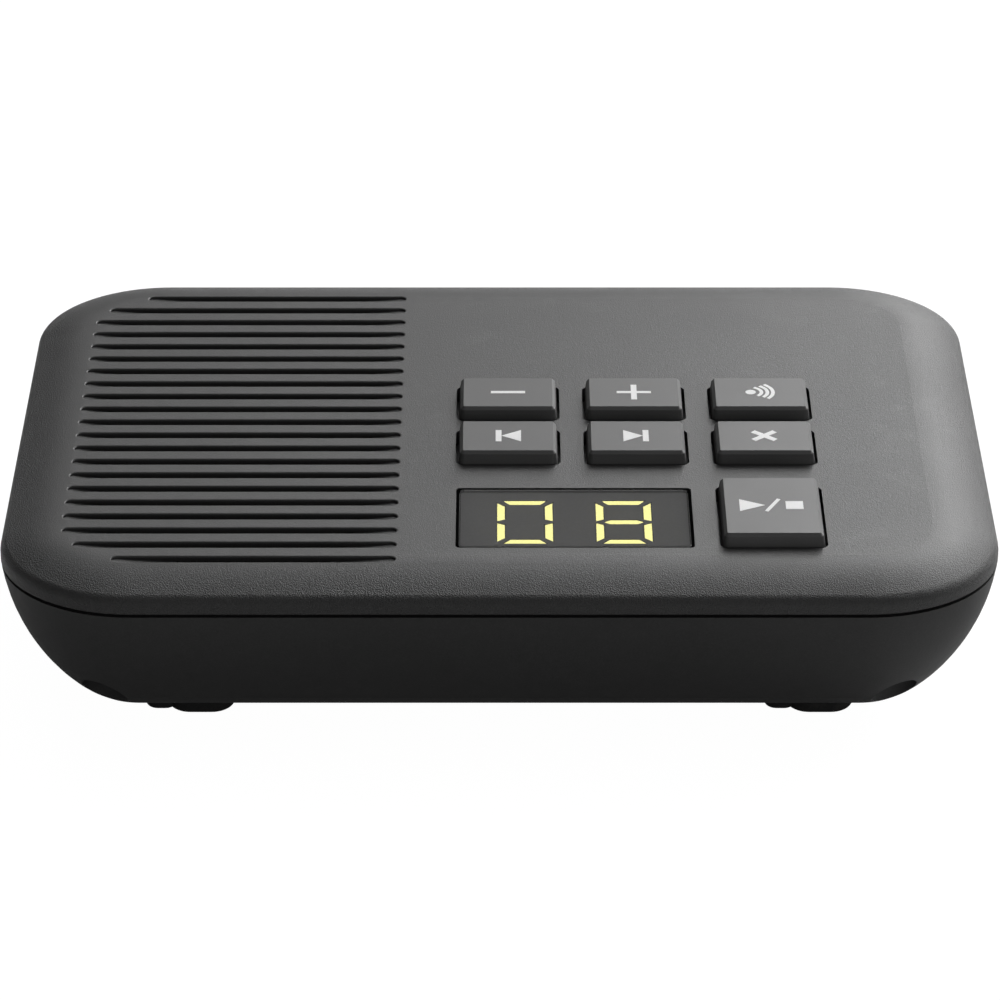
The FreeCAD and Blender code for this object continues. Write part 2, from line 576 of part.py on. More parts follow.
def top_cover():
    """Upper shell: rolled rim, speaker slots, key openings, display seat, screw bosses."""
    body = new_body("cover_shell")
    outline = add_rounded(new_sketch(body, PARTING), "case_width", "case_depth", "corner_radius")
    pad(body, outline, "cover_height")
    turn = math.radians(num("roll_angle"))
    large, small = num("roll_radius"), num("edge_radius")
    side, top = num("case_width / 2"), num(TOP)
    run = large * math.sin(turn) + small * (1 - math.sin(turn))
    centre = Vector(side - run, top - large, 0)
    edge_centre = centre + Vector((large - small) * math.sin(turn), (large - small) * math.cos(turn), 0)
    quarter = math.pi / 2
    roll = Part.ArcOfCircle(Part.Circle(centre, Vector(0, 0, 1), large), quarter - turn, quarter)
    edge = Part.ArcOfCircle(Part.Circle(edge_centre, Vector(0, 0, 1), small), 0, quarter - turn)
    corners = [edge.StartPoint, Vector(side + 2, edge.StartPoint.y, 0), Vector(side + 2, top + 1, 0)]
    corners += [Vector(side - run, top + 1, 0), roll.EndPoint]
    lines = [Part.LineSegment(start, end) for start, end in zip(corners, corners[1:])]
    sweep_cut(body, outline, add_curves(new_sketch(body, plane="XZ_Plane"), [roll, edge] + lines))
    pad(body, ring(new_sketch(body, PARTING), "parting_setback", "side_wall"), "parting_gap", down=True)

    cavity = new_sketch(body, RIM)
    width, depth = "case_width - 2 * side_wall", "case_depth - 2 * side_wall"
    add_rounded(cavity, width, depth, "corner_radius - side_wall")
    pocket(body, cavity, "%s - %s" % (UNDER, RIM), up=True)
    dress_edges(body, "Fillet", "roof_fillet", UNDER)

    # Screw bosses hang from the roof
    boss_sets = [
        (WELLS, "case_boss_radius", "%s - %s" % (UNDER, COLUMN_TOP)),
        (KEY_BOSSES, "key_boss_radius", "key_board_drop"),
        (CLAMPS, "clamp_boss_radius", "cloth_thickness + gasket_thickness + frame_thickness"),
    ]
    for places, radius, length in boss_sets:
        pad(body, add_circles(new_sketch(body, UNDER), radius, places), length, down=True)
    hole_sets = [
        (WELLS, "case_screw_radius", COLUMN_TOP, "case_screw_length"),
        (KEY_BOSSES, "board_screw_radius", KEY_BOARD_TOP,
         "key_screw_length - board_thickness + screw_end_gap"),
        (CLAMPS, "board_screw_radius", SPEAKER_TOP + " - frame_thickness", "speaker_screw_length"),
    ]
    for places, radius, start, length in hole_sets:
        holes = add_circles(new_sketch(body, start), radius + " + screw_gap", places)
        pocket(body, holes, length, up=True)

    # Key openings and the stepped display seat
    for name, x, y, key_depth in KEYS:
        hole = new_sketch(body, TOP, x=x, y=y)
        add_rounded(hole, "key_width + 2 * key_gap", key_depth + " + 2 * key_gap", "key_corner + key_gap")
        pocket(body, hole, "roof_wall")
    seat = new_sketch(body, TOP, x=WINDOW_X, y=WINDOW_Y)
    add_rounded(seat, "window_width", "window_depth", "window_corner")
    pocket(body, seat, "lens_thickness")
    light = new_sketch(body, TOP, x=WINDOW_X, y=WINDOW_Y)
    add_rounded(light, LIGHT_WIDTH, LIGHT_DEPTH, "window_corner")
    pocket(body, light, "roof_wall")
    return node("top_cover", cut("top_cover", body, slot_cutters()))


# Keys, their rubber mat and the contacts

def key_cap(name, x, y, depth):
    """Hollow tapered cap with a retaining flange below the cover and a stem onto its dome."""
    flange_top = "(%s - flange_gap)" % UNDER
    base = "(%s - flange_thickness)" % flange_top
    body = new_body(name, x, y)
    outside = add_rounded(new_sketch(body, base), "key_width", depth, "key_corner")
    pad(body, outside, "%s - %s" % (TOP, base))
    sections = []
    for height, inset in ((TOP, "0"), (KEY_TOP + " - key_chamfer", "key_draft"),
                          (KEY_TOP, "(key_draft + key_chamfer)")):
        sketch = new_sketch(body, height)
        add_rounded(sketch, "key_width - 2 * " + inset, "%s - 2 * %s" % (depth, inset),
                    "key_corner - " + inset)
        sections.append(sketch)
    taper = body.newObject("PartDesign::AdditiveLoft", name + "_taper")
    taper.Profile = sections[0]
    taper.Sections = sections[1:]
    taper.Ruled = True
    skirt = new_sketch(body, base)
    skirt_depth = depth + " + 2 * flange_width"
    add_rounded(skirt, "key_width + 2 * flange_width", skirt_depth, "key_corner + flange_width")
    pad(body, skirt, "flange_thickness")
    inside = new_sketch(body, base)
    add_boxes(inside, "key_width - 2 * key_wall", depth + " - 2 * key_wall")
    pocket(body, inside, "%s - key_wall - %s" % (KEY_TOP, base), up=True)
    stem = add_circles(new_sketch(body, KEY_TOP + " - key_wall"), "stem_radius")
    pad(body, stem, "%s - key_wall - %s - stem_gap" % (KEY_TOP, DOME_TOP), down=True)
    return node(name, body)


def contact_pill(name, x, y):
    """Carbon disc under the dome that bridges the two halves of the pad."""
    body = new_body(name, x, y, PILL_BASE)
    pad(body, add_circles(new_sketch(body), "pill_radius"), "pill_thickness")
    return node(name, body)


def keypad_mat():
    """Rubber sheet with a hollow dome under each key, open at the key board."""
    body = new_body("keypad_mat", z=KEY_BOARD_TOP)
    left = LEFT_KEYS + " - key_width / 2 - mat_margin"
    right = RIGHT_KEYS + " + key_width / 2 + mat_margin"
    low = LOW_ROW + " - key_depth / 2 - mat_margin"
    high = HIGH_ROW + " + key_depth / 2 + mat_margin"
    step = RIGHT_KEYS + " - key_width / 2"
    front = PLAY_ROW + " - play_key_depth / 2 + mat_margin"
    outline = [(left, low), (step, low), (step, front), (right, front), (right, high), (left, high)]
    pad(body, add_polygon(new_sketch(body), outline), "mat_thickness")
    roof = "%s + pill_thickness + pill_gap - %s" % (PILL_BASE, KEY_BOARD_TOP)
    shoulder = "(mat_thickness + dome_shoulder)"
    bump = [
        ("0", "0"), ("dome_radius", "0"), ("dome_radius", "mat_thickness"),
        ("dome_top_radius", shoulder), ("dome_top_radius", "dome_height"), ("0", "dome_height"),
    ]
    room = [
        ("0", "0"), ("dome_radius - dome_skin", "0"), ("dome_radius - dome_skin", "mat_thickness / 3"),
        ("pill_radius + pill_gap", "mat_thickness"), ("pill_radius + pill_gap", roof), ("0", roof),
    ]
    for name, x, y, depth in KEYS:
        for kind, points in (("Revolution", bump), ("Groove", room)):
            sketch = add_polygon(new_sketch(body, "0 - %s" % y, "XZ_Plane", x=x), points)
            feature = body.newObject("PartDesign::" + kind, "dome")
            feature.Profile = sketch
            feature.ReferenceAxis = (sketch, ["V_Axis"])
            feature.Angle = 360
    return node("keypad_mat", body)


def contact_pads():
    """Two half discs under each dome, printed on the key board."""
    body = new_body("contact_pads", z=KEY_BOARD_TOP)
    places = [(x, y) for name, x, y, depth in KEYS]
    pad(body, add_circles(new_sketch(body), "pad_radius", places), "pad_thickness")
    slits = add_boxes(new_sketch(body, "pad_thickness"), "pad_split", "3 * pad_radius", places)
    pocket(body, slits, "pad_thickness")
    return node("contact_pads", body)


def key_board():
    """Upper circuit board, screwed to bosses under the cover."""
    middle_x, width = "(%s + %s) / 2" % (KEYS_LEFT, KEYS_RIGHT), "%s - %s" % (KEYS_RIGHT, KEYS_LEFT)
    middle_y, depth = "(%s + %s) / 2" % (KEYS_FRONT, KEYS_REAR), "%s - %s" % (KEYS_REAR, KEYS_FRONT)
    body = new_body("key_board", z=KEY_BOARD_TOP)
    outline = new_sketch(body, x=middle_x, y=middle_y)
    add_rounded(outline, width, depth, "key_board_corner")
    pad(body, outline, "board_thickness", down=True)
    holes = add_circles(new_sketch(body), "board_screw_radius + hole_gap", KEY_BOSSES)
    pocket(body, holes, "board_thickness")
    return node("key_board", body)


# Display

def flipped(outline, side_x, side_y):
    return [("%d * (%s)" % (side_x, x), "%d * (%s)" % (side_y, y)) for x, y in outline]


def digit_segments(middle_x):
    """Outlines of one digit's seven bars, clockwise from the top one and the middle one last."""
    half, tall = "digit_width / 2", "digit_height / 2"
    inner = half + " - digit_mitre - digit_slant"
    top = [
        ("digit_mitre - " + half, tall), (half + " - digit_mitre", tall),
        (inner, tall + " - digit_stroke"), ("0 - (%s)" % inner, tall + " - digit_stroke"),
    ]
    high, low = tall + " - digit_side_gap", "digit_middle_gap"
    side = [
        (half, high), (half + " - digit_stroke", high + " - digit_stroke"),
        (half + " - digit_stroke", low + " + digit_stroke / 2"), (half, low),
    ]
    point = half + " - digit_middle_inset"
    shoulder = point + " - digit_slant"
    middle = [
        (point, "0"), (shoulder, "digit_stroke / 2"), ("0 - (%s)" % shoulder, "digit_stroke / 2"),
        ("0 - (%s)" % point, "0"), ("0 - (%s)" % shoulder, "0 - digit_stroke / 2"),
        (shoulder, "0 - digit_stroke / 2"),
    ]
    bars = [top, side, flipped(side, 1, -1), flipped(top, 1, -1), flipped(side, -1, -1)]
    bars += [flipped(side, -1, 1), middle]
    return [[("%s + %s" % (middle_x, x), y) for x, y in bar] for bar in bars]


def display():
    """Two-digit block that stands on the key board, its bars, and the smoked lens."""
    block_top = "(%s - segment_gap - segment_thickness)" % LENS_BASE
    block = new_body("display_module", WINDOW_X, WINDOW_Y, KEY_BOARD_TOP)
    outline = new_sketch(block)
    width, depth = LIGHT_WIDTH + " - 2 * module_gap", LIGHT_DEPTH + " - 2 * module_gap"
    add_rounded(outline, width, depth, "module_corner")
    pad(block, outline, "%s - %s" % (block_top, KEY_BOARD_TOP))
    node("display_module", block)
    zero, eight = digit_segments("(0 - digit_pitch / 2)"), digit_segments("(digit_pitch / 2)")
    for label, bars in (("lit_segments", zero[:6] + eight), ("dark_segment", zero[6:])):
        body = new_body(label, WINDOW_X, WINDOW_Y + " - digit_offset", block_top)
        sketch = new_sketch(body)
        for bar in bars:
            add_polygon(sketch, bar)
        pad(body, sketch, "segment_thickness")
        node(label, body)
    width, depth = "window_width - 2 * lens_gap", "window_depth - 2 * lens_gap"
    lens = slab("display_lens", width, depth, "window_corner", LENS_BASE, "lens_thickness",
                WINDOW_X, WINDOW_Y)
    dress_edges(lens, "Chamfer", "lens_bevel", "lens_thickness")
    node("display_lens", lens)


# Speaker: heights are measured from the top of its flange

def speaker():
    """Moving-coil speaker: frame, magnet, cone and coil, clamped under the cover."""
    place = (SPEAKER_X, SPEAKER_Y, SPEAKER_TOP)
    hole = "(speaker_radius - frame_flange)"
    flange = "(0 - frame_thickness)"
    base = "(0 - frame_depth)"
    ledge = "(frame_base_radius - spider_ledge)"
    seat = "(%s + spider_rise)" % base
    pole_gap = "(2 * coil_clearance + coil_wall)"
    yoke_in = "(magnet_radius + %s)" % pole_gap
    yoke_out = "(%s + yoke_wall)" % yoke_in
    back = "(%s - frame_thickness)" % base
    basket, foot = hole + " + frame_wall", "frame_base_radius + frame_wall"
    outline = [
        (hole, "0"), ("speaker_radius", "0"), ("speaker_radius", flange), (basket, flange),
        (basket, "0 - frame_rim"), (foot, base), (foot, back), (yoke_in + " + yoke_seat", back),
        (yoke_in + " + yoke_seat", base), (ledge, base), (ledge, seat),
        ("frame_base_radius + spider_gap", seat), (hole, "0 - frame_rim"),
    ]
    frame = turned("speaker_frame", [outline], *place)
    for plane in ("XZ_Plane", "YZ_Plane"):
        middle = "((%s + %s) / 2 + spider_gap)" % (flange, base)
        window = new_sketch(frame, plane=plane, y=middle)
        add_boxes(window, "frame_window_width", "frame_window_height")
        pocket(frame, window, "4 * speaker_radius", both_ways=True)
    node("speaker_frame", frame)

    magnet_base = "(%s - pole_height - magnet_height - pole_drop)" % back
    under = magnet_base + " - yoke_floor"
    yoke = [
        ("0", magnet_base), ("0", under), (yoke_out, under), (yoke_out, back), (yoke_in, back),
        (yoke_in, magnet_base),
    ]
    node("speaker_yoke", turned("speaker_yoke", [yoke], *place))
    pole_base = "(%s + magnet_height)" % magnet_base
    pole_top = "(%s + pole_height)" % pole_base
    heights = (("speaker_magnet", magnet_base, pole_base), ("speaker_pole", pole_base, pole_top))
    for label, low, high in heights:
        disc = [("0", low), ("magnet_radius", low), ("magnet_radius", high), ("0", high)]
        node(label, turned(label, [disc], *place))

    coil_in = "(magnet_radius + coil_clearance)"
    coil_out = "(%s + coil_wall)" % coil_in
    neck = "(%s + neck_height)" % base
    coil_base = "(%s + cone_stroke + coil_floor_gap)" % magnet_base
    coil = [(coil_in, coil_base), (coil_out, coil_base), (coil_out, neck), (coil_in, neck)]
    node("voice_coil", turned("voice_coil", [coil], *place))
    rim = "(%s + cone_height)" % neck
    skin = "cone_thickness"
    edge = rim + " + " + skin
    cone = [
        (coil_in, neck), (coil_out + " + neck_flare", neck), ("cone_radius", rim), ("cone_radius", edge),
        ("cone_radius - surround_lip", edge), (coil_in, neck + " + 1.6 * " + skin),
    ]
    node("speaker_cone", turned("speaker_cone", [cone], *place))
    cap_base = "(%s + 2.4 * %s)" % (neck, skin)
    cap = [
        ("0", cap_base + " + cap_height"), ("cap_radius / 2", cap_base + " + 0.8 * cap_height"),
        ("0.8 * cap_radius", cap_base + " + 0.4 * cap_height"), ("cap_radius", cap_base + " + " + skin),
        ("cap_radius", cap_base), ("cap_radius - " + skin, cap_base),
        ("0.8 * cap_radius - 0.75 * " + skin, cap_base + " + 0.4 * cap_height - " + skin),
        ("cap_radius / 2 - 0.5 * " + skin, cap_base + " + 0.8 * cap_height - " + skin),
        ("0", cap_base + " + cap_height - " + skin),
    ]
    node("dust_cap", turned("dust_cap", [cap], *place))
    thick = "surround_thickness"
    crest = edge + " + surround_roll"
    inside, outside = "cone_radius - surround_lip", hole + " - surround_gap"
    surround = [
        (inside, edge), ("cone_radius", edge), ("cone_radius + surround_lip / 2", crest),
        (outside + " - surround_lip / 2", crest), (outside + " - surround_gap", edge), (outside, edge),
        (outside, crest + " + " + thick), ("cone_radius + surround_lip / 3", crest + " + " + thick),
        ("cone_radius - surround_gap", edge + " + " + thick), (inside, edge + " + " + thick),
    ]
    node("cone_surround", turned("cone_surround", [surround], *place))
    spider = [
        (coil_out, seat), ("frame_base_radius", seat),
        ("frame_base_radius", seat + " + " + thick), (coil_out, seat + " + " + thick),
    ]
    node("coil_spider", turned("coil_spider", [spider], *place))
    gasket = [
        (hole, "0"), ("speaker_radius", "0"), ("speaker_radius", "gasket_thickness"),
        (hole, "gasket_thickness"),
    ]
    node("speaker_gasket", turned("speaker_gasket", [gasket], *place))


def grille_cloth():
    """Cloth glued under the slots, with holes for the bosses that pass through it."""
    width = "%s - %s + cloth_margin" % (SLOT_RIGHT, SLOT_LEFT)
    depth = "case_depth - 2 * slot_margin + 2 * cloth_margin"
    body = new_body("grille_cloth", z=UNDER)
    outline = new_sketch(body, x=SPEAKER_X, y=SPEAKER_Y)
    pad(body, add_rounded(outline, width, depth, "slot_field_corner"), "cloth_thickness", down=True)
    corners = [place for place in WELLS if place[0].startswith("-")]
    for radius, places in (("case_boss_radius", corners), ("clamp_boss_radius", CLAMPS)):
        holes = add_circles(new_sketch(body), radius + " + cloth_gap", places)
        pocket(body, holes, "cloth_thickness")
    return node("grille_cloth", body)


def speaker_clamps():
    """Four washers whose rims press the speaker's flange to the cover, and their screws."""
    base = SPEAKER_TOP + " - frame_thickness"
    body = new_body("speaker_clamps", z=base)
    washers = add_circles(new_sketch(body), "clamp_from_speaker + clamp_overlap", CLAMPS)
    pad(body, washers, "clamp_thickness", down=True)
    holes = add_circles(new_sketch(body), "board_screw_radius + hole_gap", CLAMPS)
    pocket(body, holes, "clamp_thickness")
    node("speaker_clamps", body)
    length = "clamp_thickness + speaker_screw_length - screw_end_gap"
    screws("speaker_screws", CLAMPS, "board_screw_radius", length, "board_screw_head",
           base + " - clamp_thickness", True)


def rounded_path(points, radius):
    """Wire through points with each corner replaced by a tangent arc."""
    edges = []
    start = points[0]
    for before, corner, after in zip(points, points[1:], points[2:]):
        back, ahead = (before - corner).normalize(), (after - corner).normalize()
        half = (math.pi - back.getAngle(ahead)) / 2
        reach = radius * math.tan(half)
        first, last = corner + back * reach, corner + ahead * reach
        bisector = (back + ahead).normalize()
        centre = corner + bisector * (radius / math.cos(half))
        edges.append(Part.LineSegment(start, first).toShape())
        edges.append(Part.Arc(first, centre - bisector * radius, last).toShape())
        start = last
    edges.append(Part.LineSegment(start, points[-1]).toShape())
    return Part.Wire(edges)


TAG_Y = "(%s - speaker_radius - tag_reach)" % SPEAKER_Y


def speaker_leads():
    """Solder tag on the speaker's frame and the two leads down to the main board."""
    under = SPEAKER_TOP + " - frame_thickness"
    tag = new_body("speaker_tag", SPEAKER_X, TAG_Y, under)
    pad(tag, add_boxes(new_sketch(tag), "tag_length", "tag_width"), "tag_thickness", down=True)
    node("speaker_tag", tag)
    leads = []
    radius, bend = num("lead_radius"), num("lead_bend")
    high, low = num(under + " - tag_thickness"), num(BOARD_TOP)
    third = Vector(0, 0, (high - low) / 3)
    for side in (-1, 1):
        x = num(SPEAKER_X) + side * num("lead_pitch") / 2
        start = Vector(x, num(TAG_Y + " - lead_from_tag"), high)
        end = Vector(x, num(TAG_Y + " - lead_from_tag - lead_shift"), low)
        path = rounded_path([start, start - third, end + third, end], bend)
        profile = Part.Wire(Part.Circle(start, Vector(0, 0, -1), radius).toShape())
        tube = path.makePipeShell([profile], True, False)
        expected = math.pi * radius ** 2 * path.Length
        print("lead volume %.3f, section times length %.3f" % (tube.Volume, expected))
        leads.append(tube)
    return node("speaker_leads", fixed_shape("speaker_leads", Part.makeCompound(leads)))


# Main board and what is soldered to it

def main_board():
    """Lower circuit board on four standoffs, with its parts."""
    width, depth = "case_width - 2 * board_from_side", "case_depth - 2 * board_from_front"
    board = slab("main_board", width, depth, "board_corner", BOARD, "board_thickness")
    holes = new_sketch(board, "board_thickness")
    pocket(board, add_circles(holes, "board_screw_radius + hole_gap", STANDOFFS), "board_thickness")
    node("main_board", board)

    can = slab("shield_can", "can_width", "can_depth", "can_corner", BOARD_TOP, "can_height",
               RADIO_X, "0 - can_from_middle")
    inside = add_boxes(new_sketch(can), "can_width - 2 * can_sheet", "can_depth - 2 * can_sheet")
    pocket(can, inside, "can_height - can_sheet", up=True)
    node("shield_can", can)

    chips = new_body("chips", RADIO_X, "0 - can_from_middle", BOARD_TOP)
    for name in ("logic", "radio", "memory"):
        place = new_sketch(chips, x=name + "_x", y=name + "_y")
        pad(chips, add_boxes(place, name + "_width", name + "_depth"), name + "_height")
    node("chips", chips)

    capacitors = new_body("capacitors", RADIO_X, "0", BOARD_TOP)
    for name in ("supply", "filter", "audio", "line"):
        place = new_sketch(capacitors, x=name + "_can_x", y=name + "_can_y")
        pad(capacitors, add_circles(place, name + "_can_radius"), name + "_can_height")
    node("capacitors", capacitors)

    blocks = [
        ("coupler", "line_transformer", KEYS_LEFT), ("relay", "line_relay", KEYS_LEFT),
        ("crystal", "crystal", "0"),
    ]
    for name, label, start in blocks:
        block = slab(label, name + "_width", name + "_depth", name + "_corner", BOARD_TOP,
                     name + "_height", "%s + %s_x" % (start, name), name + "_y")
        node(label, block)

    # Folded aerial plates at the two rear corners of the board
    for side, name in ((-1, "aerial_left"), (1, "aerial_right")):
        x = "%d * (case_width / 2 - antenna_from_side)" % side
        aerial = new_body(name, x, "case_depth / 2 - antenna_from_rear", BOARD_TOP)
        pad(aerial, add_boxes(new_sketch(aerial), "antenna_width", "antenna_sheet"), "antenna_height")
        top = new_sketch(aerial, "antenna_height - antenna_sheet", y="0 - antenna_top / 2")
        pad(aerial, add_boxes(top, "antenna_width", "antenna_top"), "antenna_sheet")
        gap = add_boxes(new_sketch(aerial), "antenna_width / 2", "antenna_top")
        pocket(aerial, gap, "antenna_height / 2", up=True)
        node(name, aerial)

    # Upright pin header between the two boards
    x, y = KEYS_LEFT + " + link_inset_x", KEYS_FRONT + " + link_inset_y"
    header = new_body("board_link", x, y, BOARD_TOP)
    pad(header, add_boxes(new_sketch(header), "link_depth", "link_width"), "link_depth")
    pin_count = 6
    pins = [("0", "(%s * link_pin_pitch)" % (step - (pin_count - 1) / 2)) for step in range(pin_count)]
    rise = "%s - board_thickness - %s" % (KEY_BOARD_TOP, BOARD_TOP)
    pad(header, add_boxes(new_sketch(header), "link_pin_width", "link_pin_width", pins), rise)
    node("board_link", header)


def sockets():
    """Two modular sockets that look into the rear bay, each with its spring wires."""
    for name, x, width, cavity, wires in SOCKETS:
        body = new_body(name + "_socket", x, BAY_FLOOR + " - socket_length / 2", BOARD_TOP)
        pad(body, add_boxes(new_sketch(body), width, "socket_length"), "socket_height")
        mouth = "(socket_length / 2 - cavity_depth / 2)"
        plug_room = new_sketch(body, "cavity_lift", y=mouth)
        pocket(body, add_boxes(plug_room, cavity, "cavity_depth"), "cavity_height", up=True)
        latch = new_sketch(body, "cavity_lift + cavity_height", y=mouth)
        pocket(body, add_boxes(latch, "latch_width", "cavity_depth"), "latch_height", up=True)
        node(name + "_socket", body)

        spring = new_body(name + "_contacts", x, BAY_FLOOR, BOARD_TOP)
        front, back = "0 - contact_setback", "contact_clearance - cavity_depth"
        rise = "cavity_lift + contact_rise"
        bent = [
            (front, "cavity_lift"), (front, "cavity_lift + contact_wire"), (back, rise),
            (back, rise + " - contact_wire"), (front + " - 2 * contact_wire", "cavity_lift"),
        ]
        for step in range(wires):
            across = "(%s * contact_pitch)" % (step - (wires - 1) / 2)
            side = new_sketch(spring, across, "YZ_Plane")
            blade = pad(spring, add_polygon(side, bent), "contact_wire")
            blade.Midplane = True
        node(name + "_contacts", spring)


def feet():
    """Rubber feet: a broad pad and a small lobe beside it, bevelled at the table."""
    for side_x, across in (("-1", "left"), ("1", "right")):
        for side_y, along in (("-1", "front"), ("1", "rear")):
            x = "%s * (case_width / 2 - foot_from_side) + 3 * lobe_width / 8" % side_x
            body = new_body("foot", x, "%s * (case_depth / 2 - foot_from_front)" % side_y)
            broad = add_rounded(new_sketch(body), "foot_width", "foot_length", "foot_corner")
            pad(body, broad, "foot_height")
            dress_edges(body, "Chamfer", "foot_bevel", "0")
            lobe = new_sketch(body, "lobe_rise", x="0 - foot_width / 2 - lobe_width / 4")
            add_rounded(lobe, "lobe_width", "lobe_length", "lobe_corner")
            pad(body, lobe, "foot_height - lobe_rise")
            node("foot_%s_%s" % (along, across), body)


bottom_case()
top_cover()
for key_name, key_x, key_y, key_deep in KEYS:
    key_cap(key_name, key_x, key_y, key_deep)
    contact_pill(key_name.replace("_key", "_pill"), key_x, key_y)
keypad_mat()
contact_pads()
key_board()
display()
speaker()
grille_cloth()
speaker_clamps()
speaker_leads()
main_board()
sockets()
feet()
screws("case_screws", WELLS, "case_screw_radius", "case_screw_length - screw_end_gap + column_top_wall",
       "case_screw_head", COLUMN_TOP + " - column_top_wall", True)
screws("key_board_screws", KEY_BOSSES, "board_screw_radius", "key_screw_length", "board_screw_head",
       KEY_BOARD_TOP + " - board_thickness", True)
screws("main_board_screws", STANDOFFS, "board_screw_radius", "board_screw_length", "board_screw_head",
       BOARD_TOP, False)

doc.recompute()
for thing in doc.Objects:
    bad = [state for state in thing.State if state in ("Invalid", "Error")]
    if bad:
        raise RuntimeError("%s is %s" % (thing.Label, bad))
for label, piece in NODES:
    if piece.Shape.isNull() or not piece.Shape.isValid() or not piece.Shape.Solids:
        raise RuntimeError("%s has no valid solid" % label)
for label, piece in NODES:
    piece.Shape.exportStep("parts/%s.step" % label)
    print("%-20s %2d solids %10.1f mm3" % (label, len(piece.Shape.Solids), piece.Shape.Volume))
print(len(NODES), "nodes")
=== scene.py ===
import math

import bmesh
import bpy
from mathutils import Matrix, Vector


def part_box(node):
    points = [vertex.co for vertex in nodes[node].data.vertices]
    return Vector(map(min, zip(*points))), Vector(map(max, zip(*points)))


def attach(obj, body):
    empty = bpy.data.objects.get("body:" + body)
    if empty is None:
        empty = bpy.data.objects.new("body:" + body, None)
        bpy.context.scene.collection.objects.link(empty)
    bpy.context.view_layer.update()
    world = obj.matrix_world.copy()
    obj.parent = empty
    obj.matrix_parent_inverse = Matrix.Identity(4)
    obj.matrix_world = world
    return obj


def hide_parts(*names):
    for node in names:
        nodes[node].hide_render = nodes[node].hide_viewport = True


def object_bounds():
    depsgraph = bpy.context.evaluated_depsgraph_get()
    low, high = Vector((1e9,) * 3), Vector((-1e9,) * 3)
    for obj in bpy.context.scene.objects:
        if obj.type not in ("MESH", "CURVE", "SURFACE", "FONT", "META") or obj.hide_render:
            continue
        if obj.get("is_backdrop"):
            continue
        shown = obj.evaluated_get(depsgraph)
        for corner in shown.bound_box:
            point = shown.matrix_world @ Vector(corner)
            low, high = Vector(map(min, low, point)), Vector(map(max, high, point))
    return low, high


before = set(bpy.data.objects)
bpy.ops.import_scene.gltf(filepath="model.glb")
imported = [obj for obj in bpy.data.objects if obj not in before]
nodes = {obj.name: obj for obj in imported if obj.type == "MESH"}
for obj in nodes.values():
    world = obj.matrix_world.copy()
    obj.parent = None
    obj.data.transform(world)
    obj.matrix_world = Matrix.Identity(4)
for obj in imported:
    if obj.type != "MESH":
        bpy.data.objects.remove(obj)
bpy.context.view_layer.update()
bpy.ops.object.select_all(action="DESELECT")

# Lower case
# A deep bowl with rounded corners, injection moulded in charcoal ABS with a
# fine spark-eroded skin. Four screws in the corner wells hold the halves.


class Shade:
    """One socket of a finish. Sums and products of shades add Math nodes."""

    def __init__(self, tree, socket=None):
        self.tree, self.socket = tree, socket

    def node(self, kind, settings, sockets, output=0):
        """Add any other node: its settings first, then the values or links it takes."""
        added = self.tree.nodes.new("ShaderNode" + kind)
        for name, value in settings.items():
            setattr(added, name, value)
        for name, value in sockets.items():
            if isinstance(value, Shade):
                self.tree.links.new(value.socket, added.inputs[name])
            else:
                added.inputs[name].default_value = value
        return Shade(self.tree, added.outputs[output])

    def maths(self, operation, first, second):
        return self.node("Math", {"operation": operation}, {0: first, 1: second})

    def __add__(self, other):
        return self.maths("ADD", self, other)

    def __radd__(self, other):
        return self.maths("ADD", other, self)

    def __sub__(self, other):
        return self.maths("SUBTRACT", self, other)

    def __rsub__(self, other):
        return self.maths("SUBTRACT", other, self)

    def __mul__(self, other):
        return self.maths("MULTIPLY", self, other)

    def __rmul__(self, other):
        return self.maths("MULTIPLY", other, self)

    def noise(self, size, detail=2.0, rough=0.5):
        """On a place: clouds from 0 to 1 whose blotches are about that size in metres."""
        sockets = {"Vector": self, "Scale": 1 / size, "Detail": detail, "Roughness": rough}
        return self.node("TexNoise", {}, sockets)

    def between(self, low, high):
        """On a value: 0 where it is under low, 1 where it is over high, a slope between."""
        return self.node("MapRange", {"clamp": True}, {0: self, 1: low, 2: high})

    def mix(self, first, second):
        """On a mask: colour that runs from the first to the second as the mask rises."""
        return self.node("Mix", {"data_type": "RGBA"}, {0: self, 6: first, 7: second}, 2)


def new_finish(name, constants):
    """A material with these values on its shader, and the shade of its object coordinates."""
    material = bpy.data.materials.new(name)
    material.use_nodes = True
    tree = material.node_tree
    for socket, value in constants.items():
        tree.nodes["Principled BSDF"].inputs[socket].default_value = value
    place = Shade(tree).node("TexCoord", {}, {}, "Object")
    return material, place


def feed(material, sockets):
    """Lead each shade into its socket of the material's shader."""
    tree = material.node_tree
    for name, shade in sockets.items():
        tree.links.new(shade.socket, tree.nodes["Principled BSDF"].inputs[name])


def coat(material, *names):
    """Put one finish on carried-over CAD nodes."""
    for name in names:
        nodes[name].data.materials.clear()
        nodes[name].data.materials.append(material)


def grey(level, warmth=0.0):
    """Grey of that level, a little yellow where it has warmth."""
    return (level * (1 + warmth), level, level * (1 - warmth), 1)


